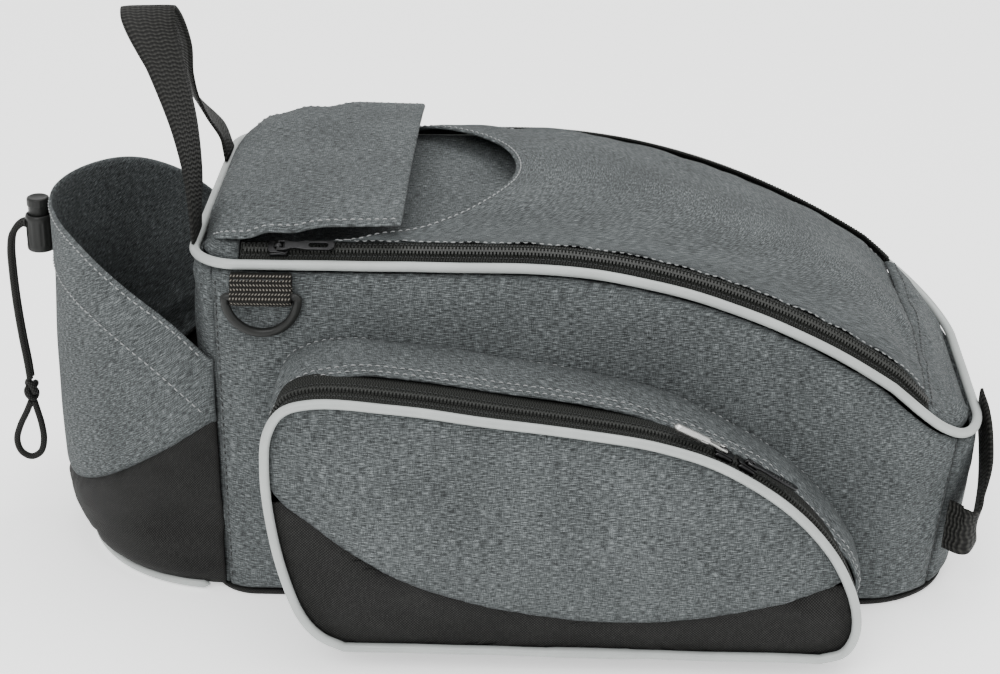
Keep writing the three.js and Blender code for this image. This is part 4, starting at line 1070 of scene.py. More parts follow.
def turned_into(places, origin, x_way, z_way):
    """Places made round an origin, put where x and z lie along two ways."""
    y_way = unit(np.cross(z_way, x_way))
    x = unit(np.cross(y_way, z_way))
    return np.asarray(places, float) @ np.array([x, y_way, unit(z_way)]) + origin


# Camera, floor and lamps
def aim(obj, way):
    obj.rotation_mode = "QUATERNION"
    obj.rotation_quaternion = way.to_track_quat("-Z", "Y")


class MakeStage(bpy.types.Operator):
    """Adds the camera, a plain pale floor and soft studio light"""

    bl_idname = "trunk_bag.stage"
    bl_label = "Stage"

    def execute(self, context):
        scene = context.scene
        data = bpy.data.cameras.new("camera")
        camera = in_scene("camera", data)
        azimuth, elevation = math.radians(AZIMUTH), math.radians(ELEVATION)
        level = math.cos(elevation)
        back = Vector((math.sin(azimuth) * level, -math.cos(azimuth) * level, math.sin(elevation)))
        camera.location = Vector(TARGET) + back * DISTANCE
        aim(camera, -back)
        data.lens, data.sensor_width = LENS, SENSOR
        data.clip_start, data.clip_end = 0.01, 50
        scene.camera = camera

        mesh = bpy.data.meshes.new("floor")
        corners = [(x * FLOOR_REACH, y * FLOOR_REACH, 0) for x, y in ((-1, -1), (1, -1), (1, 1), (-1, 1))]
        mesh.from_pydata(corners, [], [(0, 1, 2, 3)])
        f = Finish("pale_floor")
        shade = f.blend(f.grain(f.object_place(), 3.0, 2.0), (0.93, 0.94, 0.93), (0.95, 0.955, 0.95))
        mesh.materials.append(f.surface(Base_Color=shade, Roughness=0.6, Specular_IOR_Level=0.2,
                                        Emission_Color=(1.0, 1.0, 1.0), Emission_Strength=0.8))
        floor = in_scene("floor", mesh)

        world = bpy.data.worlds.new("studio")
        world.use_nodes = True
        ground = world.node_tree.nodes["Background"]
        ground.inputs["Color"].default_value = (1, 1, 1, 1)
        ground.inputs["Strength"].default_value = SKY_STRENGTH
        scene.world = world
        for name, place, size, power in LAMPS:
            lamp = bpy.data.lights.new(name, "AREA")
            lamp.shape, lamp.size, lamp.energy = "SQUARE", size, power
            obj = in_scene(name, lamp)
            obj.location = place
            aim(obj, Vector(LAMP_TARGET) - Vector(place))
        return {"FINISHED"}


# Drawcord and its lock
def turned(centre, profile, ribs, depth, low, high, sides=60):
    """A turned part from its radii and heights, with ribs round its outside between two heights."""
    rings = []
    for r, z in profile:
        ribbed = low < z < high and r > 5.45
        ring = []
        for a in (2 * math.pi * i / sides for i in range(sides)):
            cut = depth * (0.5 + 0.5 * math.cos(ribs * a)) if ribbed else 0.0
            ring.append(centre + vec((r - cut) * math.cos(a), (r - cut) * math.sin(a), z))
        rings.append(ring)
    return loft(rings)


class MakeDrawcord(bpy.types.Operator):
    """Adds the two strands, the knot and loop, and the lock of the end pocket's drawcord"""

    bl_idname = "trunk_bag.drawcord"
    bl_label = "Drawcord"

    def cord(self, name, route, y, far_end, with_pieces):
        line = even_line(smooth_line([(x, y, z) for x, z in route], np.linspace(0, 1, 220)), 0.9)
        parts = Parts()
        tube(parts, line, CORD / 2, 14, across=[vec(0, 1, 0)] * len(line))
        obj = parts.piece(f"{name}_braid", "braid", "drawcord", node=name)
        length = float(np.linalg.norm(np.diff(line, axis=0), axis=1).sum())
        path = even_line(line, max(length / 36, 2.2)) * MM
        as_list(with_pieces)

    def execute(self, context):
        turns = np.linspace(0, 2 * math.pi, 140, endpoint=False)
        reach = 2 + np.cos(3 * turns)
        winding = [np.sin(3 * turns) * 1.9, reach * np.cos(2 * turns) * 1.12, reach * np.sin(2 * turns) * 1.12 * 1.4]
        parts = Parts()
        tube(parts, np.stack(winding, 1) + np.array(KNOT), 1.72, 10, closed=True)
        knot = parts.piece("drawcord_knot_tied", "braid", "drawcord", node="drawcord_knot")
        for name, side in SIDES:
            self.cord(f"drawcord_strand_{name}", CORD_ROUTE, side * CORD_SPACING / 2, "knot",
                      [knot] if side < 0 else ())
        self.cord("drawcord_loop", LOOP_ROUTE, 0.0, "knot", ())
        self.lock()
        return {"FINISHED"}

    def lock(self):
        outside = end_point(0, LOCK_FOOT + LOCK_HEIGHT / 2)[0]
        centre = vec(outside - GAP - LOCK_RADIUS, 0, LOCK_FOOT)
        parts = Parts()
        parts.add(*turned(centre, BARREL, 15, 0.4, 3.5, 15.5))
        around = np.linspace(0, 2 * math.pi, 20, endpoint=False)
        for side in (-1, 1):
            eyelet = [centre + vec(-6.75, side * 1.9 + 2.0 * math.cos(a), 14.5 + 2.0 * math.sin(a)) for a in around]
            tube(parts, eyelet, 0.45, 6, closed=True)
        parts.piece("cord_lock_body", "plastic", "lock_plastic", node="cord_lock_barrel")
        head = LOCK_HEIGHT + PLUNGER_TRAVEL + GAP
        plunger = [*PLUNGER_STEM, *((r, head + z) for r, z in PLUNGER_HEAD)]
        parts = Parts()
        parts.add(*turned(centre, plunger, 18, 0.25, head + 0.9, head + 3.8))
        parts.piece("cord_lock_button", "plastic", "lock_plastic", "cord_lock_plunger", "cord_lock_plunger")


class MakeBody(bpy.types.Operator):
    """Adds the side, front and rear panels, the base and the grey piping of the top seam"""

    bl_idname = "trunk_bag.body"
    bl_label = "Body"

    def wall(self, name, places, toward, settling, sewing, seed):
        panel = Panel(places, toward)
        panel.settle(**settling)
        panel.sew(("start", "end", "left", "right"), **sewing, seed=seed)
        panel.piece(name + "_cloth", WALL - 0.5, "heather", "grey_cloth", (name,), fill=0.45)
        return panel

    def end_wall(self, name, toward, turns, t_end, count, rows, seed):
        """A wall that runs round one corner, across the end in count steps and round the other corner."""
        turns = [float(t) for t in turns]
        level = [(0, s) for s in np.linspace(0, 1, count)[1:-1]]
        stations = [(-1, t) for t in turns] + level + [(1, t) for t in turns[::-1]]

        def place(station, k):
            side, t = station
            if side:
                return wall_point(side, t, k)[0]
            return mix(wall_point(-1, t_end, k)[0], wall_point(1, t_end, k)[0], t)

        places = grid(stations, np.linspace(0, 1, rows), place)
        self.wall(name, places, toward, END_SETTLING, END_SEWING, seed)

    def execute(self, context):
        shares = [*np.linspace(FRONT_SEAM, 1, 9)[:-1], *np.linspace(1, 2, 64)[:-1], *np.linspace(2, 2 + REAR_SEAM, 12)]
        thread = Parts()
        for name, side in SIDES:
            places = grid(shares, np.linspace(0, 1, 30), lambda t, k: wall_point(side, float(t), k)[0])
            panel = self.wall(f"side_panel_{name}", places, (0, side, 0), SIDE_SETTLING, SIDE_SEWING, 1.0 + side)
            for edge in ("end", "start"):
                stitches(thread, *panel.line(edge, 3.0, 0.05, 0.95))
        self.end_wall("front_panel", (-1, 0, 0), np.linspace(FRONT_SEAM - 0.008, 0, 9), 0.0, 22, 30, 5.0)
        self.end_wall("rear_panel", (1, 0, 0), np.linspace(2 + REAR_SEAM + 0.006, 3, 10), 3.0, 18, 20, 6.0)
        thread.piece("body_stitching", "dark_thread", "grey_cloth")
        self.base()
        self.piping()
        return {"FINISHED"}

    def base(self):
        rim = [*np.linspace(0, 1, 14), *np.linspace(1, 2, 30)[1:-1], *np.linspace(2, 3, 18)]
        edge = [plan(-1, float(t), 0) for t in rim] + [plan(1, float(t), 0) for t in rim[::-1]]
        sections = ((6.0, 0.0), (3.2, 0.15), (2.3, 0.9), (1.6, 2.2), (1.7, 3.2), (4.5, 3.3))
        places, faces = loft([[vec(*(p + out * -inset)[:2], z) for p, out in edge] for inset, z in sections])
        cloth = [
            (places[m][0], places[m][1] + (places[m][2] if len(face) == 4 else 0.0)) for face in faces for m in face
        ]
        parts = Parts()
        parts.add(places, faces, cloth)
        parts.piece("base_board_cover", "black", "black_cloth", node="base_panel")

    def piping(self):
        shares = [*np.linspace(0, 1, 20), *np.linspace(1, 2, 90)[1:], *np.linspace(2, 3, 34)[1:]]
        line, across = [], []
        for side, order, end, count in ((-1, shares, 3.0, 18), (1, shares[::-1], 0.0, 26)):
            for t in order:
                at = rail(side, float(t))
                line.append(offset(at, -PIPING_SINK, 0))
                across.append(at[1])
            a, b = rail(side, end), rail(-side, end)
            for s in np.linspace(0, 1, count)[1:-1]:
                line.append(mix(offset(a, -PIPING_SINK, 0), offset(b, -PIPING_SINK, 0), s))
                across.append(a[1])
        line = np.array(line)
        line = line + vec(0, 0, 1) * (ripple(line, 30.0, 3.0) * 0.35)[:, None]
        parts = Parts()
        tube(parts, line, PIPING + 0.15, 16, closed=True, across=across)
        parts.piece("top_seam_piping", "piping", "reflective_piping", node="top_piping")


class MakeLid(bpy.types.Operator):
    """Adds the lid's front, tail, padded panel and cover with its mouth, and the flap"""

    bl_idname = "trunk_bag.lid"
    bl_label = "Lid and flap"

    def part(self, name, edge, shares, sewn, seed, lap=None):
        def row(t, height=0.0):
            near, far = rail(-1, t), rail(1, t)
            inner = [lid_point(t, v, height, LID_INSET) for v in np.linspace(-1, 1, 31)]
            first, last = slope_point(near, 0, height), slope_point(far, 0, height)
            return [first, mix(first, inner[0], 0.5), *inner, mix(last, inner[-1], 0.5), last]

        def foot():
            near, far = slope_point(rail(-1, edge), 0, 0), slope_point(rail(1, edge), 0, 0)
            return [mix(near, far, s) for s in np.linspace(0, 1, 35)]

        rows = [foot(), *[row(float(t)) for t in shares]]
        if lap is not None:
            rows.append(row(lap, -3.0))
        panel = Panel(rows, (0, 0, 1))
        panel.settle(pressure=1.6, cap=2.5)
        panel.sew(sewn, depth=1.3, width=7.0, rumple=0.8, size=44.0, pucker=0.35, seed=seed)
        panel.piece(name + "_cloth", 2.6, "heather", "grey_cloth", (name,), fill=0.4)
        return panel

    def execute(self, context):
        light, dark = Parts(), Parts()
        self.part("lid_front", 0.0, [0.04, *np.linspace(0.08, 1, 12)], ("start", "left", "right"), 11.0)
        tail_start = ZIP_END + 2 * GAP / ((REAR_CORNER - LID_INSET) * math.pi / 2)
        tail = self.part("lid_tail", 3.0, [2.96, *np.linspace(2.92, tail_start, 18)],
                         ("start", "left", "right"), 12.0, tail_start - 0.05)
        stitches(dark, *tail.line("end", 6.5, 0.03, 0.97))

        top = lambda t, v: -COVER - LAYER_GAP - dip(t, v)
        panel = Panel(grid(np.linspace(ZIP_START, ZIP_END, 72), np.linspace(-1, 1, 34),
                           lambda t, v: lid_point(float(t), v, top(float(t), v))), (0, 0, 1))
        panel.settle(pressure=1.5, cap=2.0)
        panel.push(ripple(panel.places, 34.0, 21.0) * 0.8 * ease(panel.reach(("left", "right", "start", "end")) / 20)
                   - 0.9)
        panel.piece("lid_padding", 2.0, "heather", "grey_cloth", ("lid_panel",), fill=0.6)

        def cover(s, w):
            angle = s * math.pi / 2
            start = 1 + MOUTH_APEX - (MOUTH_APEX - MOUTH_CORNER) * (1 - math.cos(angle))
            t, v = mix(start, ZIP_END, w), math.sin(angle)
            slump = COVER_SLUMP * float(ease((t - 1.25) / 0.5) * ease((v + 0.6) / 1.3))
            return lid_point(t, v, -slump)

        cover = Panel(grid(np.linspace(-1, 1, 61), np.linspace(0, 1, 56), cover), (0, 0, 1))
        cover.settle(pressure=2.2, cap=3.0, free=("left",))
        cover.sew(("start", "end", "right"), depth=1.1, width=6.0, rumple=1.2, size=48.0, pucker=0.4, seed=13.0)
        hem = 1 - ease(cover.reach(("left",)) / 9)
        cover.push(hem * 0.7 + ease(cover.reach(("left",)) / 8) * 0.2)
        cover.piece("lid_cover_cloth", 1.7, "heather", "grey_cloth", ("lid_cover",), edges=("start", "end", "right"),
                    fill=0.4)
        for side, thread in (("left", light), ("start", light), ("end", light), ("right", dark)):
            stitches(thread, *cover.line(side, 2.6, 0.02, 0.98))

        front = FOOT_OUT + LENGTH / 2
        backs = np.array([row[0] for row in FLAP_SECTIONS])

        def flap(back, v):
            columns = ([row[k] for row in FLAP_SECTIONS] for k in (1, 2, 3))
            rise, lift, half = (float(np.interp(back, backs, column)) for column in columns)
            x = -front + back * FLAP_LENGTH
            over = LID_RISE * rise + GAP + lift * (FLAP_LIFT + FLAP_CROWN * (1 - v * v)) + FLAP_THICK
            droop = FLAP_DROOP * float((1 - ease(back / 0.5)) * ease((abs(v) - 0.55) / 0.4))
            return vec(x, v * half * FLAP_HALF, seam_height(x) + over - droop)

        flap = Panel(grid(np.linspace(0, 1, 40), np.linspace(-1, 1, 58), flap), (0, 0, 1))
        flap.settle(pressure=1.6, cap=3.0, free=("end", "left", "right"))
        flap.sew(("start",), depth=1.0, width=7.0, rumple=1.0, size=60.0, pucker=0.3, seed=14.0)
        edge = flap.reach(("left", "right", "end"))
        flap.push(-0.5 * np.exp(-((edge - 3.4) / 1.1) ** 2) + 0.25 * ease(edge / 9))
        flap.piece("top_flap_cloth", 2.7, "heather", "grey_cloth", ("top_flap",), edges=("start",), fill=0.4)
        for side in ("left", "right"):
            stitches(light, *flap.line(side, 3.4, 0.08, 0.97))
        light.piece("lid_light_stitching", "light_thread", "grey_cloth")
        dark.piece("lid_dark_stitching", "dark_thread", "grey_cloth")
        return {"FINISHED"}


def zip_teeth(parts, line, out, width=2.05):
    """Two rows of coil teeth along a line of places, each hooked into the other row."""
    pitch = sizes().tooth * 1000
    line, out = np.asarray(line, float), np.asarray(out, float)
    run = length_along(line)
    corners = [(a, b, c) for a in (-1, 1) for b in (-1, 1) for c in (0, 1)]
    faces = [(0, 1, 3, 2), (4, 6, 7, 5), (0, 4, 5, 1), (2, 3, 7, 6), (1, 5, 7, 3), (0, 2, 6, 4)]
    s, row = pitch, 1
    while s < run[-1] - pitch:
        way = unit(taken_at(s + 0.4, run, line) - taken_at(s - 0.4, run, line))
        up = unit(taken_at(s, run, out))
        side = unit(np.cross(up, way)) * row
        base = taken_at(s, run, line)
        places = []
        for along, across, high in corners:
            reach = (width if across > 0 else -0.55) * (0.9 if high else 1.0)
            rise = 0.15 + high * 1.35 * (0.86 if across > 0 else 1.0)
            places.append(base + way * along * 0.52 * (0.72 if high else 1.0) + side * reach + up * rise)
        parts.add(places, faces if row > 0 else [face[::-1] for face in faces])
        s += pitch / 2
        row = -row


def cut_plate(outline, holes, thick, bevel):
    """A flat plate with holes and rounded edges, as places and faces. Outlines are drawn in x and y."""
    data = bpy.data.curves.new("plate", "CURVE")
    data.dimensions, data.fill_mode = "2D", "BOTH"
    data.extrude, data.bevel_depth, data.bevel_resolution = (thick / 2 - bevel) * MM, bevel * MM, 2
    data.offset = -bevel * MM
    for ring in (outline, *holes):
        spline = data.splines.new("POLY")
        spline.points.add(len(ring) - 1)
        for point, (x, y) in zip(spline.points, ring):
            point.co = (x * MM, y * MM, 0, 1)
        spline.use_cyclic_u = True
    obj = in_scene("plate", data)
    shown = obj.evaluated_get(bpy.context.evaluated_depsgraph_get())
    mesh = bpy.data.meshes.new_from_object(shown)
    places = np.array([tuple(v.co) for v in mesh.vertices]) / MM
    faces = [tuple(p.vertices) for p in mesh.polygons]
    bpy.data.objects.remove(obj)
    bpy.data.curves.remove(data)
    bpy.data.meshes.remove(mesh)
    return places, faces


def bow(x, reach, half, count, way=1):
    """Half a round outline about x, open toward the other end."""
    turns = np.linspace(-math.pi / 2, math.pi / 2, count) + (0 if way > 0 else math.pi)
    return [(x + reach * math.cos(g), half * math.sin(g)) for g in turns]


def stadium(x0, x1, half, count=9):
    """A rounded bar outline along x, with its ends at x0 and x1."""
    return bow(x1 - half, half, half, count) + bow(x0 + half, half, half, count, -1)


def add_slider(name, origin, along, out, way, puller_finish, grip):
    """A zip slider and its puller. The slider's body, side walls and bail come from rounded plates and a bar."""
    across = unit(np.cross(out, along))
    parts = Parts()
    places, faces = cut_plate([*bow(3.2, 1.6, 4.1, 9), *SLIDER_BACK], (), 1.0, 0.3)
    parts.add(turned_into(places + vec(0, 0, 2.75), origin, along, out), faces)
    for side in (-1, 1):
        wall = [vec(x, side * (3.35 + 0.35 * abs(x) / 4.8), 1.45) for x in np.linspace(-4.3, 4.1, 9)]
        tube(parts, turned_into(wall, origin, along, out), 0.62, 8, squash=1.9, across=[across] * 9, taper=1.0)
    arch = [vec(1.75 * math.cos(g), 0, 3.0 + 1.35 * max(0.0, math.sin(g)) + 0.35) for g in np.linspace(math.pi, 0, 15)]
    arch = [vec(-1.75, 0, 2.6), *arch, vec(1.75, 0, 2.6)]
    tube(parts, turned_into(arch, origin, along, out), 1.2, 10, across=[across] * len(arch), squash=0.36)
    parts.piece(f"{name}_zip_slider", "gunmetal", "zip_metal", node=f"{name}_slider")

    hinge = origin + out * 4.15
    tip = bow(PULLER_LENGTH - PULLER_HALF, 2.6, 2.65, 11)
    outline = [*PULLER_NECK, (12.5, -2.5), *tip, (12.5, 2.5), *((x, -y) for x, y in PULLER_NECK[::-1])]
    holes = [PULLER_EYE]
    if grip == "slot":
        holes.append(stadium(14.0, 22.6, 1.1)[::-1])
    parts = Parts()
    places, faces = cut_plate(outline, holes, 1.3, 0.35)
    parts.add(turned_into(places, hinge, along * way, out), faces)
    if grip == "ribs":
        for x in np.arange(12.6, 22.6, 1.5):
            for z in (-0.62, 0.62):
                bar = [vec(x, y, z) for y in np.linspace(-1.9, 1.9, 5)]
                tube(parts, turned_into(bar, hinge, along * way, out), 0.34, 6, taper=0.8)
    if grip == "bar":
        for z in (-0.36, 0.36):
            bar = turned_into([vec(x, 0, z) for x in np.linspace(7.5, 25.6, 13)], hinge, along * way, out)
            tube(parts, bar, 2.5, 16, across=[across] * 13, squash=0.58, taper=1.2)
    parts.piece(f"{name}_zip_puller", puller_finish, "puller_metal", f"{name}_puller", f"{name}_puller")


class MakeLidZips(bpy.types.Operator):
    """Adds the zips beside the lid, with their tapes, teeth, sliders and pullers"""

    bl_idname = "trunk_bag.lid_zips"
    bl_label = "Lid zips"

    def execute(self, context):
        shares = [float(t) for t in (*np.linspace(ZIP_START, 2, 84), *np.linspace(2, ZIP_END, 16)[1:])]
        inner = 1 - (GAP + 1.2 * SLOPE_UP) / SLOPE_LENGTH
        for name, side in SIDES:
            strip = lambda t, s: slope_point(rail(side, t), s, 0.0)
            facing = lambda t: rail(side, t)[1] * SLOPE_UP - rail(side, t)[2] * SLOPE_OUT
            tape = Panel(grid(shares, np.linspace(0, inner, 9), strip), (0, 0, 1))
            tape.push(ripple(tape.places, 22.0, 31.0) * 0.25)
            tape.piece(f"lid_tape_{name}", 1.0, "tape", "zip_tape", (f"lid_zip_tape_{name}",),
                       edges=("left", "right"), detail=0, fill=0.2)
            normals = [facing(t) for t in shares]
            parts = Parts()
            zip_teeth(parts, [strip(t, 0.5) for t in shares], normals)
            parts.piece(f"lid_teeth_{name}", "coil", "zip_coil", node=f"lid_zip_coil_{name}", smooth=False)
            thread = Parts()
            for shift in (0.2, 0.8):
                stitches(thread, [strip(t, shift) for t in shares], normals, **TAPE_STITCH)
            thread.piece(f"lid_tape_stitching_{name}", "dark_thread", "zip_tape")
            t = 1 + LID_SLIDER
            ahead = unit(rail(side, t + 0.01)[0] - rail(side, t - 0.01)[0])
            add_slider(f"lid_{name}", strip(t, 0.5), ahead, facing(t), 1, "gunmetal", "slot")
        return {"FINISHED"}


def spots_inside(border, step, margin):
    """Spots of an even lattice that lie within a closed outline and at least a margin from it."""
    low, high = border.min(0), border.max(0)
    lattice = np.array([
        (x + (step / 2 if row % 2 else 0), z)
        for row, z in enumerate(np.arange(low[1], high[1], step * 0.866)) for x in np.arange(low[0], high[0], step)
    ])
    after = np.roll(border, -1, 0)
    way = after - border
    crossing = (border[None, :, 1] > lattice[:, None, 1]) != (after[None, :, 1] > lattice[:, None, 1])
    slope = np.where(np.abs(way[:, 1]) < TINY, TINY, way[:, 1])
    hit = lattice[:, None, 0] < way[:, 0] * (lattice[:, None, 1] - border[:, 1]) / slope + border[:, 0]
    inside = (crossing & hit).sum(1) % 2 == 1
    return lattice[inside & (beside(lattice, border) > margin)]


class MakePockets(bpy.types.Operator):
    """Adds the two zipped side pockets: face, seam, piping, zip and casing"""

    bl_idname = "trunk_bag.pockets"
    bl_label = "Side pockets"

    def face(self, name, side, upper):
        rim = np.array([(r[0] - r[3] * 1.2, r[1] - r[4] * 1.2) for r in RIM])
        above = rim[:, 1] - face_seam_up(rim[:, 0])
        keep = above > 0.5 if upper else above < -0.5
        start = int(np.nonzero(keep & ~np.roll(keep, 1))[0][0])
        order = np.roll(np.arange(len(rim)), -start)
        ring = even_line(rim[order[keep[order]]], 3.0)
        first, last = ring[-1], ring[0]
        xs = np.linspace(first[0], last[0], max(4, int(abs(first[0] - last[0]) / 3.0)))[1:-1]
        border = np.concatenate([ring, np.stack([xs, face_seam_up(xs)], 1)])
        points = np.concatenate([border, spots_inside(border, 3.6, 1.9)])
        count = len(border)
        edges = [(i, (i + 1) % count) for i in range(count)]
        found, _, triangles, *_ = geometry.delaunay_2d_cdt([Vector(p) for p in points], edges, [], 1, 1e-4, False)
        flat = np.array([tuple(p) for p in found])
        rim_gap = beside(flat, np.array([(r[0], r[1]) for r in RIM]))
        seam_gap = np.abs(flat[:, 1] - face_seam_up(flat[:, 0])) * 0.85
        out = POCKET_FACE + POCKET_DOME * ease((rim_gap - 2.5) / DOME_REACH)
        places = np.stack([flat[:, 0], side * out, flat[:, 1]], 1)
        faces = [t[::-1] if side > 0 else t for t in triangles]
        a, b, c = places[list(faces[0])]
        if np.cross(b - a, c - b)[1] * side < 0:
            faces = [t[::-1] for t in faces]
        pinned = np.nonzero(np.minimum(rim_gap - 1.0, seam_gap) < 0.8)[0].tolist()
        places = settled_cloth(places, faces, pinned, 2.4, 3.5)
        near = np.minimum(rim_gap - 1.2, seam_gap)
        push = ripple(places, 50.0, 40.0 + upper) * 1.3 * ease(near / 30)
        push += ripple(places, 7.0, 44.0) * 0.22 * (1 - ease(near / 16)) * ease(near / 2)
        push -= 1.6 * (1 - ease((rim_gap - 1.2) / 8))
        push -= (0.7 if upper else 1.3) * (1 - ease(seam_gap / 5))
        places[:, 1] += side * push
        cloth = [(places[i][0], places[i][2]) for t in faces for i in t]
        seams = [(float(near[i]), 0.0) for t in faces for i in t]
        part, kind, slot = ("upper", "heather", "grey_cloth") if upper else ("lower", "black", "black_cloth")
        obj = add_piece(f"pocket_{part}_cloth_{name}", places, faces, kind, "bag", cloth, seams)
        pad = obj.modifiers.new("Padding", "SOLIDIFY")
        pad.thickness, pad.offset = 2.2 * MM, -1
        rounder = obj.modifiers.new("Rounding", "SUBSURF")
        rounder.levels = rounder.render_levels = 1
        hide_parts(f"pocket_face_{part}_{name}")

    def execute(self, context):
        tape_edge = (POCKET_PIPING + GAP) / POCKET_DEPTH
        casing_edge = CASING_EDGE + GAP / POCKET_DEPTH
        middle = (tape_edge + CASING_EDGE) / 2
        centre = vec(POCKET_FRONT + 0.46 * POCKET_LENGTH, 0, POCKET_FLOOR + 0.45 * POCKET_HEIGHT)
        for name, side in SIDES:
            for upper in (True, False):
                self.face(name, side, upper)

            def band(depths, height):
                places = grid(RIM, depths, lambda row, depth: rim_point(side, row, float(depth), height))
                away = places - centre
                away[..., 1] = 0
                return Panel(places, away, closed=True)

            casing = band(np.linspace(casing_edge, 1, 18), 0.0)
            share = (np.linspace(0, 1, 18))[None, :]
            top = np.array([clamp(r[4] * 1.6) for r in RIM])[:, None]
            casing.settle(pressure=1.8, cap=2.5, free=("left",))
            casing.push(1.4 * np.sin(np.pi * share) * (0.4 + 0.6 * top) - 0.5 * (1 - ease(share * 3)))
            casing.sew(("right",), depth=1.0, width=6.0, rumple=0.9, size=38.0, pucker=0.5, seed=50.0 + side)
            casing.piece(f"pocket_casing_cloth_{name}", 1.8, "heather", "grey_cloth", (f"pocket_casing_{name}",),
                         edges=("right",), fill=0.4)
            light, dark = Parts(), Parts()
            last = (ARCH - 1) / (len(RIM) - 1)
            stitches(light, *casing.line("left", 2.4, 0.13, last - 0.03), radius=0.3)
            stitches(light, *casing.line("left", 6.4, 0.13, last - 0.03), radius=0.3)
            stitches(light, *casing.line("right", 3.2, 0.2, last - 0.12), radius=0.3)
            light.piece(f"pocket_light_stitching_{name}", "light_thread", "grey_cloth")

            tape = band(np.linspace(tape_edge, CASING_EDGE + 0.07, 12), -TAPE_RECESS)
            tape.push(ripple(tape.places, 24.0, 60.0) * 0.2)
            tape.piece(f"pocket_tape_{name}", 1.0, "tape", "zip_tape", (f"pocket_zip_tape_{name}",),
                       edges=("left", "right"), detail=0, fill=0.2)

            strip = lambda rows, shift: [rim_point(side, r, middle + shift, -TAPE_RECESS) for r in rows]
            rows = RIM[11:ARCH - 11]
            parts = Parts()
            zip_teeth(parts, strip(rows, 0.0), [unit(vec(r[3], 0, r[4])) for r in rows])
            parts.piece(f"pocket_teeth_{name}", "coil", "zip_coil", node=f"pocket_zip_coil_{name}", smooth=False)
            rows = RIM[4:ARCH - 4]
            for shift in (-5.2, 5.2):
                stitches(dark, strip(rows, shift / POCKET_DEPTH), [unit(vec(r[3], 0, r[4])) for r in rows],
                         **TAPE_STITCH)
            dark.piece(f"pocket_tape_stitching_{name}", "dark_thread", "zip_tape")
            self.piping(name, side)
            self.sliders(name, side, middle)
        return {"FINISHED"}

    def piping(self, name, side):
        line = np.array([rim_point(side, r, 0.0, 0.0) for r in RIM])
        line += np.stack([np.zeros(len(line)), ripple(line, 26.0, 70.0) * 0.4, ripple(line, 31.0, 71.0) * 0.3], 1)
        across = [vec(r[3], 0, r[4]) for r in RIM]
        radii = np.full(len(line), POCKET_PIPING)
        lapped = [i for i, r in enumerate(RIM) if i >= ARCH and -16.0 < r[0] < 20.0]
        radii[lapped] += 0.28
        parts = Parts()
        tube(parts, line, POCKET_PIPING, 16, closed=True, across=across, radii=radii)
        parts.piece(f"pocket_rim_piping_{name}", "piping", "reflective_piping", node=f"pocket_piping_{name}")

    def sliders(self, name, side, middle):
        line = smooth_line(POCKET_KNOTS, np.linspace(0, 1, 4001))
        run = length_along(line)
        behind = SLIDER_SHARE + SLIDER_SPACING / run[-1]
        for mark, s, way, kind, grip in (
            ("front", SLIDER_SHARE, -1, "bright", "bar"), ("rear", behind, 1, "black_metal", "ribs"),
        ):
            i = int(np.searchsorted(run, s * run[-1]))
            p = line[i]
            along = line[i + 1] - line[i - 1]
            along[1] = 0
            along = unit(along)
            row = (p[0], p[2], p[1], -along[2], along[0])
            depth_way = rim_point(side, row, 1.0, 0.0) - rim_point(side, row, 0.0, 0.0)
            out = unit(np.cross(along, depth_way))
            if np.dot(out, vec(row[3], 0, row[4])) < 0:
                out = -out
            place = rim_point(side, row, middle, -TAPE_RECESS)
            add_slider(f"pocket_{name}_{mark}", place, along, out, way, kind, grip)


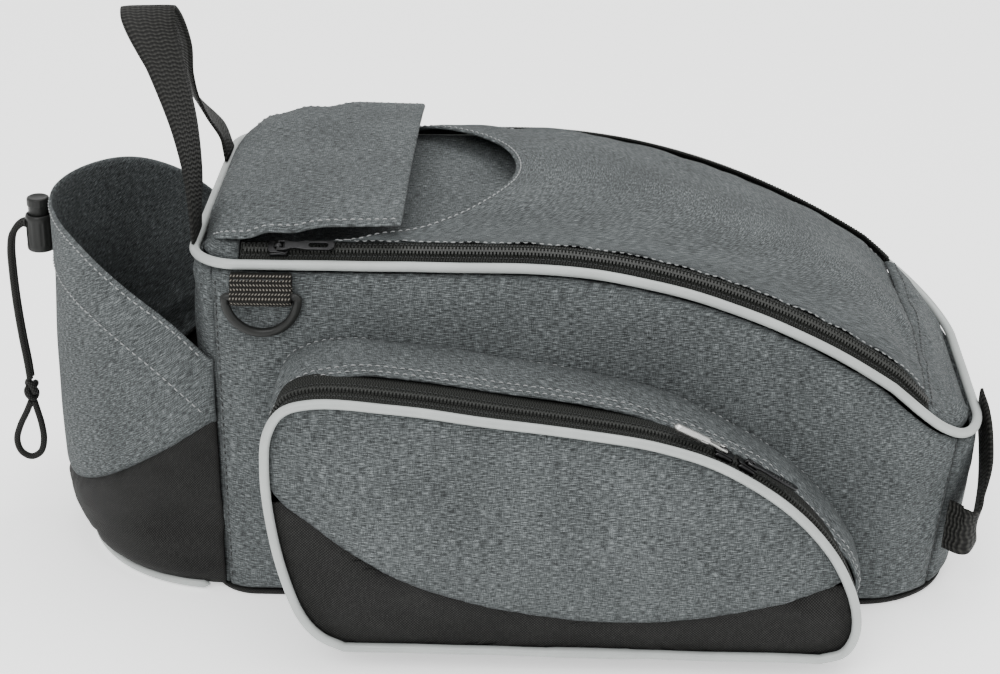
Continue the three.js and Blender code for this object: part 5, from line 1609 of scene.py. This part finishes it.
class MakeEndPocket(bpy.types.Operator):
    """Adds the open end pocket with its hem, lower part, piping and base"""

    bl_idname = "trunk_bag.end_pocket"
    bl_label = "End pocket"

    def execute(self, context):
        angles = [float(a) for a in np.linspace(-math.pi / 2, math.pi / 2, 76)]
        light = Parts()

        def wall(low, high, rows):
            inner = [[end_point(a, z) for z in np.linspace(low(a), high(a), rows)] for a in angles]
            tuck = vec(2.6, 0, 0)
            first, last = [p + tuck for p in inner[0]], [p + tuck for p in inner[-1]]
            return Panel([first, *inner, last], (-1, 0, 0))

        upper = wall(lambda a: split_height(a) - 0.8, rim_height, 34)
        upper.settle(pressure=1.4, cap=3.0, free=("right",))
        upper.sew(("left",), depth=0.7, width=7.0, rumple=1.3, size=48.0, pucker=0.4, seed=81.0)
        hem = upper.reach(("right",))
        upper.push(0.5 * (1 - ease((hem - 30) / 3)) - 0.4 * np.exp(-((hem - 3.0) / 1.2) ** 2))
        upper.piece("end_pocket_upper_cloth", 1.8, "heather", "grey_cloth", ("end_pocket_upper",),
                    edges=("start", "end", "left"), fill=0.3)
        stitches(light, *upper.line("right", 3.0, 0.02, 0.98))
        stitches(light, *upper.line("right", 31.5, 0.02, 0.98))
        lower = wall(lambda a: END_LIFT + END_PIPING - 0.6, lambda a: split_height(a) + 4.0, 30)
        lower.settle(pressure=1.4, cap=3.0)
        lower.sew(("left", "right"), depth=2.9, width=9.0, rumple=1.2, size=40.0, pucker=0.4, seed=82.0)
        slant = lower.places @ np.array([[0.0], [0.55], [0.83]])
        folds = np.concatenate([slant / 13.0, lower.places[..., 2:] / 60.0, lower.places[..., 1:2] / 60.0], 2)
        lower.push(ripple(folds, 1.0, 83.0) * 1.9 * ease(lower.reach(("left", "right")) / 12))
        lower.piece("end_pocket_lower_cloth", 1.8, "black", "black_cloth", ("end_pocket_lower",), fill=0.35)
        light.piece("end_pocket_stitching", "light_thread", "grey_cloth")

        height = END_LIFT + END_PIPING
        line, across = [], []
        for a in np.array(angles) * 0.95:
            depth, half, _ = end_shape(height)
            line.append(end_point(float(a), height, END_PIPING))
            across.append(unit(vec(-math.cos(a) * half, math.sin(a) * depth, 0)))
        parts = Parts()
        tube(parts, line, END_PIPING + 0.1, 14, across=across, taper=2.0)
        parts.piece("end_pocket_base_piping", "piping", "reflective_piping", node="end_pocket_piping")

        front = -LENGTH / 2 - GAP
        edge = [end_point(a, END_LIFT, 2 * END_PIPING + GAP) for a in angles]
        edge = [p for p in edge if p[0] < front - 1]
        edge = [vec(front, edge[0][1], 0), *edge, vec(front, edge[-1][1], 0)]
        middle = np.mean(edge, axis=0)
        rings = []
        for shrink, z in ((0.94, 1.05), (0.985, 1.15), (1.0, 1.6), (1.0, 2.6), (0.985, 3.0), (0.94, 3.05)):
            ring = [mix(middle, p, shrink) for p in edge]
            rings.append([vec(min(p[0], front), p[1], z) for p in ring])
        places, faces = loft(rings)
        parts = Parts()
        parts.add(places, faces, [(places[m][0], places[m][1]) for face in faces for m in face])
        parts.piece("end_pocket_floor", "black", "black_cloth", node="end_pocket_base")
        return {"FINISHED"}


class MakeWebbing(bpy.types.Operator):
    """Adds the tall front loop, the rear loop and the D-rings in their tabs"""

    bl_idname = "trunk_bag.webbing"
    bl_label = "Webbing and rings"

    def strap(self, name, node, knots, path, ways):
        """A webbing loop through knots, twisted by the angles in the last column of its path."""
        shares = np.linspace(0, 1, 150)
        twist = [row[3] for row in path]
        turns = [math.radians(float(np.interp(s * (len(path) - 1), range(len(path)), twist))) for s in shares]
        parts = Parts()
        ribbon(parts, smooth_line(knots, shares), [ways(a) for a in turns], WEB_WIDTH, WEB_THICK)
        parts.piece(name, "webbing", "webbing", node=node)

    def execute(self, context):
        foot = FRONT_HEIGHT + PIPING + 2 * GAP
        knots = [(-LENGTH / 2 + PIPING_SINK - lean * HANDLE_LEAN, HANDLE_MIDDLE + across * HANDLE_SPAN / 2,
                  foot + up * HANDLE_HEIGHT) for across, up, lean, _ in HANDLE_PATH]
        self.strap("front_handle_webbing", "front_handle_loop", knots, HANDLE_PATH,
                   lambda a: vec(math.sin(a), math.cos(a), 0))

        low, high = (wall_point(-1, 2 + REAR_SEAM, k)[0][2] for k in (0, 1))
        seam, out = wall_point(-1, 2 + REAR_SEAM, (REAR_LOOP_PATH[0][2] * REAR_HEIGHT - low) / (high - low))
        knots = [vec(LENGTH / 2 - REAR_LEAN * (1 - up) + reach * REAR_REACH, side * WIDTH / 2, up * REAR_HEIGHT)
                 for reach, side, up, _ in REAR_LOOP_PATH]
        knots[0] = seam + out * (2 * GAP + WEB_THICK / 2)
        lean = REAR_LEAN / REAR_HEIGHT
        self.strap("rear_loop_webbing", "rear_loop", knots, REAR_LOOP_PATH,
                   lambda a: vec(lean * math.cos(a), math.sin(a), math.cos(a)))
        for name, side, share in (("near", -1, NEAR_RING), ("far", 1, FAR_RING)):
            self.ring(name, side, share)
        return {"FINISHED"}

    def ring(self, name, side, share):
        t = 1 + share
        at = rail(side, t)
        drop = PIPING + GAP + TAB_DROP + GAP
        wall_at = wall_point(side, t, 1 - drop / FRONT_HEIGHT)[0]
        hinge = offset(at, 0, -drop)
        hinge[1] = side * (abs(wall_at[1]) + 2 * GAP + TAB_ROUND)
        along = unit(rail(side, t + 0.01)[0] - rail(side, t - 0.01)[0])

        def corner(s):
            return [vec(s * (RING_REACH - 1.6 + 1.6 * math.sin(g)), 0, -1.0 + 1.0 * math.cos(g))
                    for g in np.linspace(0, math.pi / 2, 5)]

        arc = [vec(RING_REACH * math.cos(g), 0, -1 + RING_REACH * math.sin(g))
               for g in np.linspace(math.pi, 2 * math.pi, 44)]
        bar = [vec(x, 0, 0.0) for x in np.linspace(RING_REACH - 1.6, -RING_REACH + 1.6, 20)]
        local = np.array(arc[1:-1] + corner(1)[::-1] + bar[1:-1] + corner(-1))
        across = [unit(np.cross(at[2], along))] * len(local)
        parts = Parts()
        tube(parts, turned_into(local, hinge, along, at[2]), 2.0, 16, closed=True, across=across, squash=1.04,
             radii=[2.05 if p[2] < -0.6 else 1.85 for p in local])
        parts.piece(f"d_ring_moulded_{name}", "plastic", "ring_plastic", f"d_ring_{name}", f"d_ring_{name}")

        top = TAB_DROP - 0.2
        path = [(0.75 - TAB_ROUND, z) for z in np.linspace(top, 0, 12)]
        path += [(-TAB_BEND * math.cos(g), -TAB_BEND * math.sin(g)) for g in np.linspace(0, math.pi, 18)[1:]]
        path += [(mix(TAB_BEND, TAB_TOP_OUT, s**0.85), mix(0, top, s)) for s in np.linspace(0, 1, 14)[1:]]
        y_out = vec(0, side, 0)
        line = [hinge + y_out * a + at[2] * b for a, b in path]
        parts = Parts()
        ribbon(parts, line, [along * side] * len(line), TAB_WIDTH, 1.35, 10)
        parts.piece(f"d_ring_tab_webbing_{name}", "tab", "webbing", node=f"d_ring_tab_{name}")
        seam = hinge + y_out * (mix(TAB_BEND, TAB_TOP_OUT, 0.8**0.85) + 0.7) + at[2] * (TAB_DROP * 0.8)
        thread = Parts()
        stitches(thread, [seam + along * x for x in np.linspace(-12.5, 12.5, 20)], [y_out] * 20, pitch=2.6, radius=0.3)
        thread.piece(f"d_ring_tab_stitching_{name}", "dark_thread", "webbing")


class TrunkBagPanel(bpy.types.Panel):
    """Lists the pieces of the bag and the sizes and colours that they use"""

    bl_idname = "VIEW3D_PT_trunk_bag"
    bl_label = "Trunk bag"
    bl_space_type = "VIEW_3D"
    bl_region_type = "UI"
    bl_category = "Trunk bag"

    def draw(self, context):
        for group in (colours(), sizes()):
            box = self.layout.box()
            for name in group.__annotations__:
                box.prop(group, name)
        for maker in MAKER_OPERATORS:
            self.layout.operator(maker.bl_idname)


MAKER_OPERATORS = (MakeStage, MakeDrawcord, MakeBody, MakeLid, MakeLidZips, MakePockets, MakeEndPocket, MakeWebbing)
CLASSES = (BagColours, BagSizes, *MAKER_OPERATORS, TrunkBagPanel)


def register():
    for item in CLASSES:
        bpy.utils.register_class(item)
    bpy.types.Scene.trunk_bag_colours = PointerProperty(type=BagColours)
    bpy.types.Scene.trunk_bag_sizes = PointerProperty(type=BagSizes)


def unregister():
    del bpy.types.Scene.trunk_bag_sizes
    del bpy.types.Scene.trunk_bag_colours
    for item in reversed(CLASSES):
        bpy.utils.unregister_class(item)


def main():
    register()
    bpy.ops.trunk_bag.stage()
    bpy.ops.trunk_bag.drawcord()
    bpy.ops.trunk_bag.body()
    bpy.ops.trunk_bag.lid()
    bpy.ops.trunk_bag.lid_zips()
    bpy.ops.trunk_bag.pockets()
    bpy.ops.trunk_bag.end_pocket()
    bpy.ops.trunk_bag.webbing()


if __name__ == "__main__":
    main()
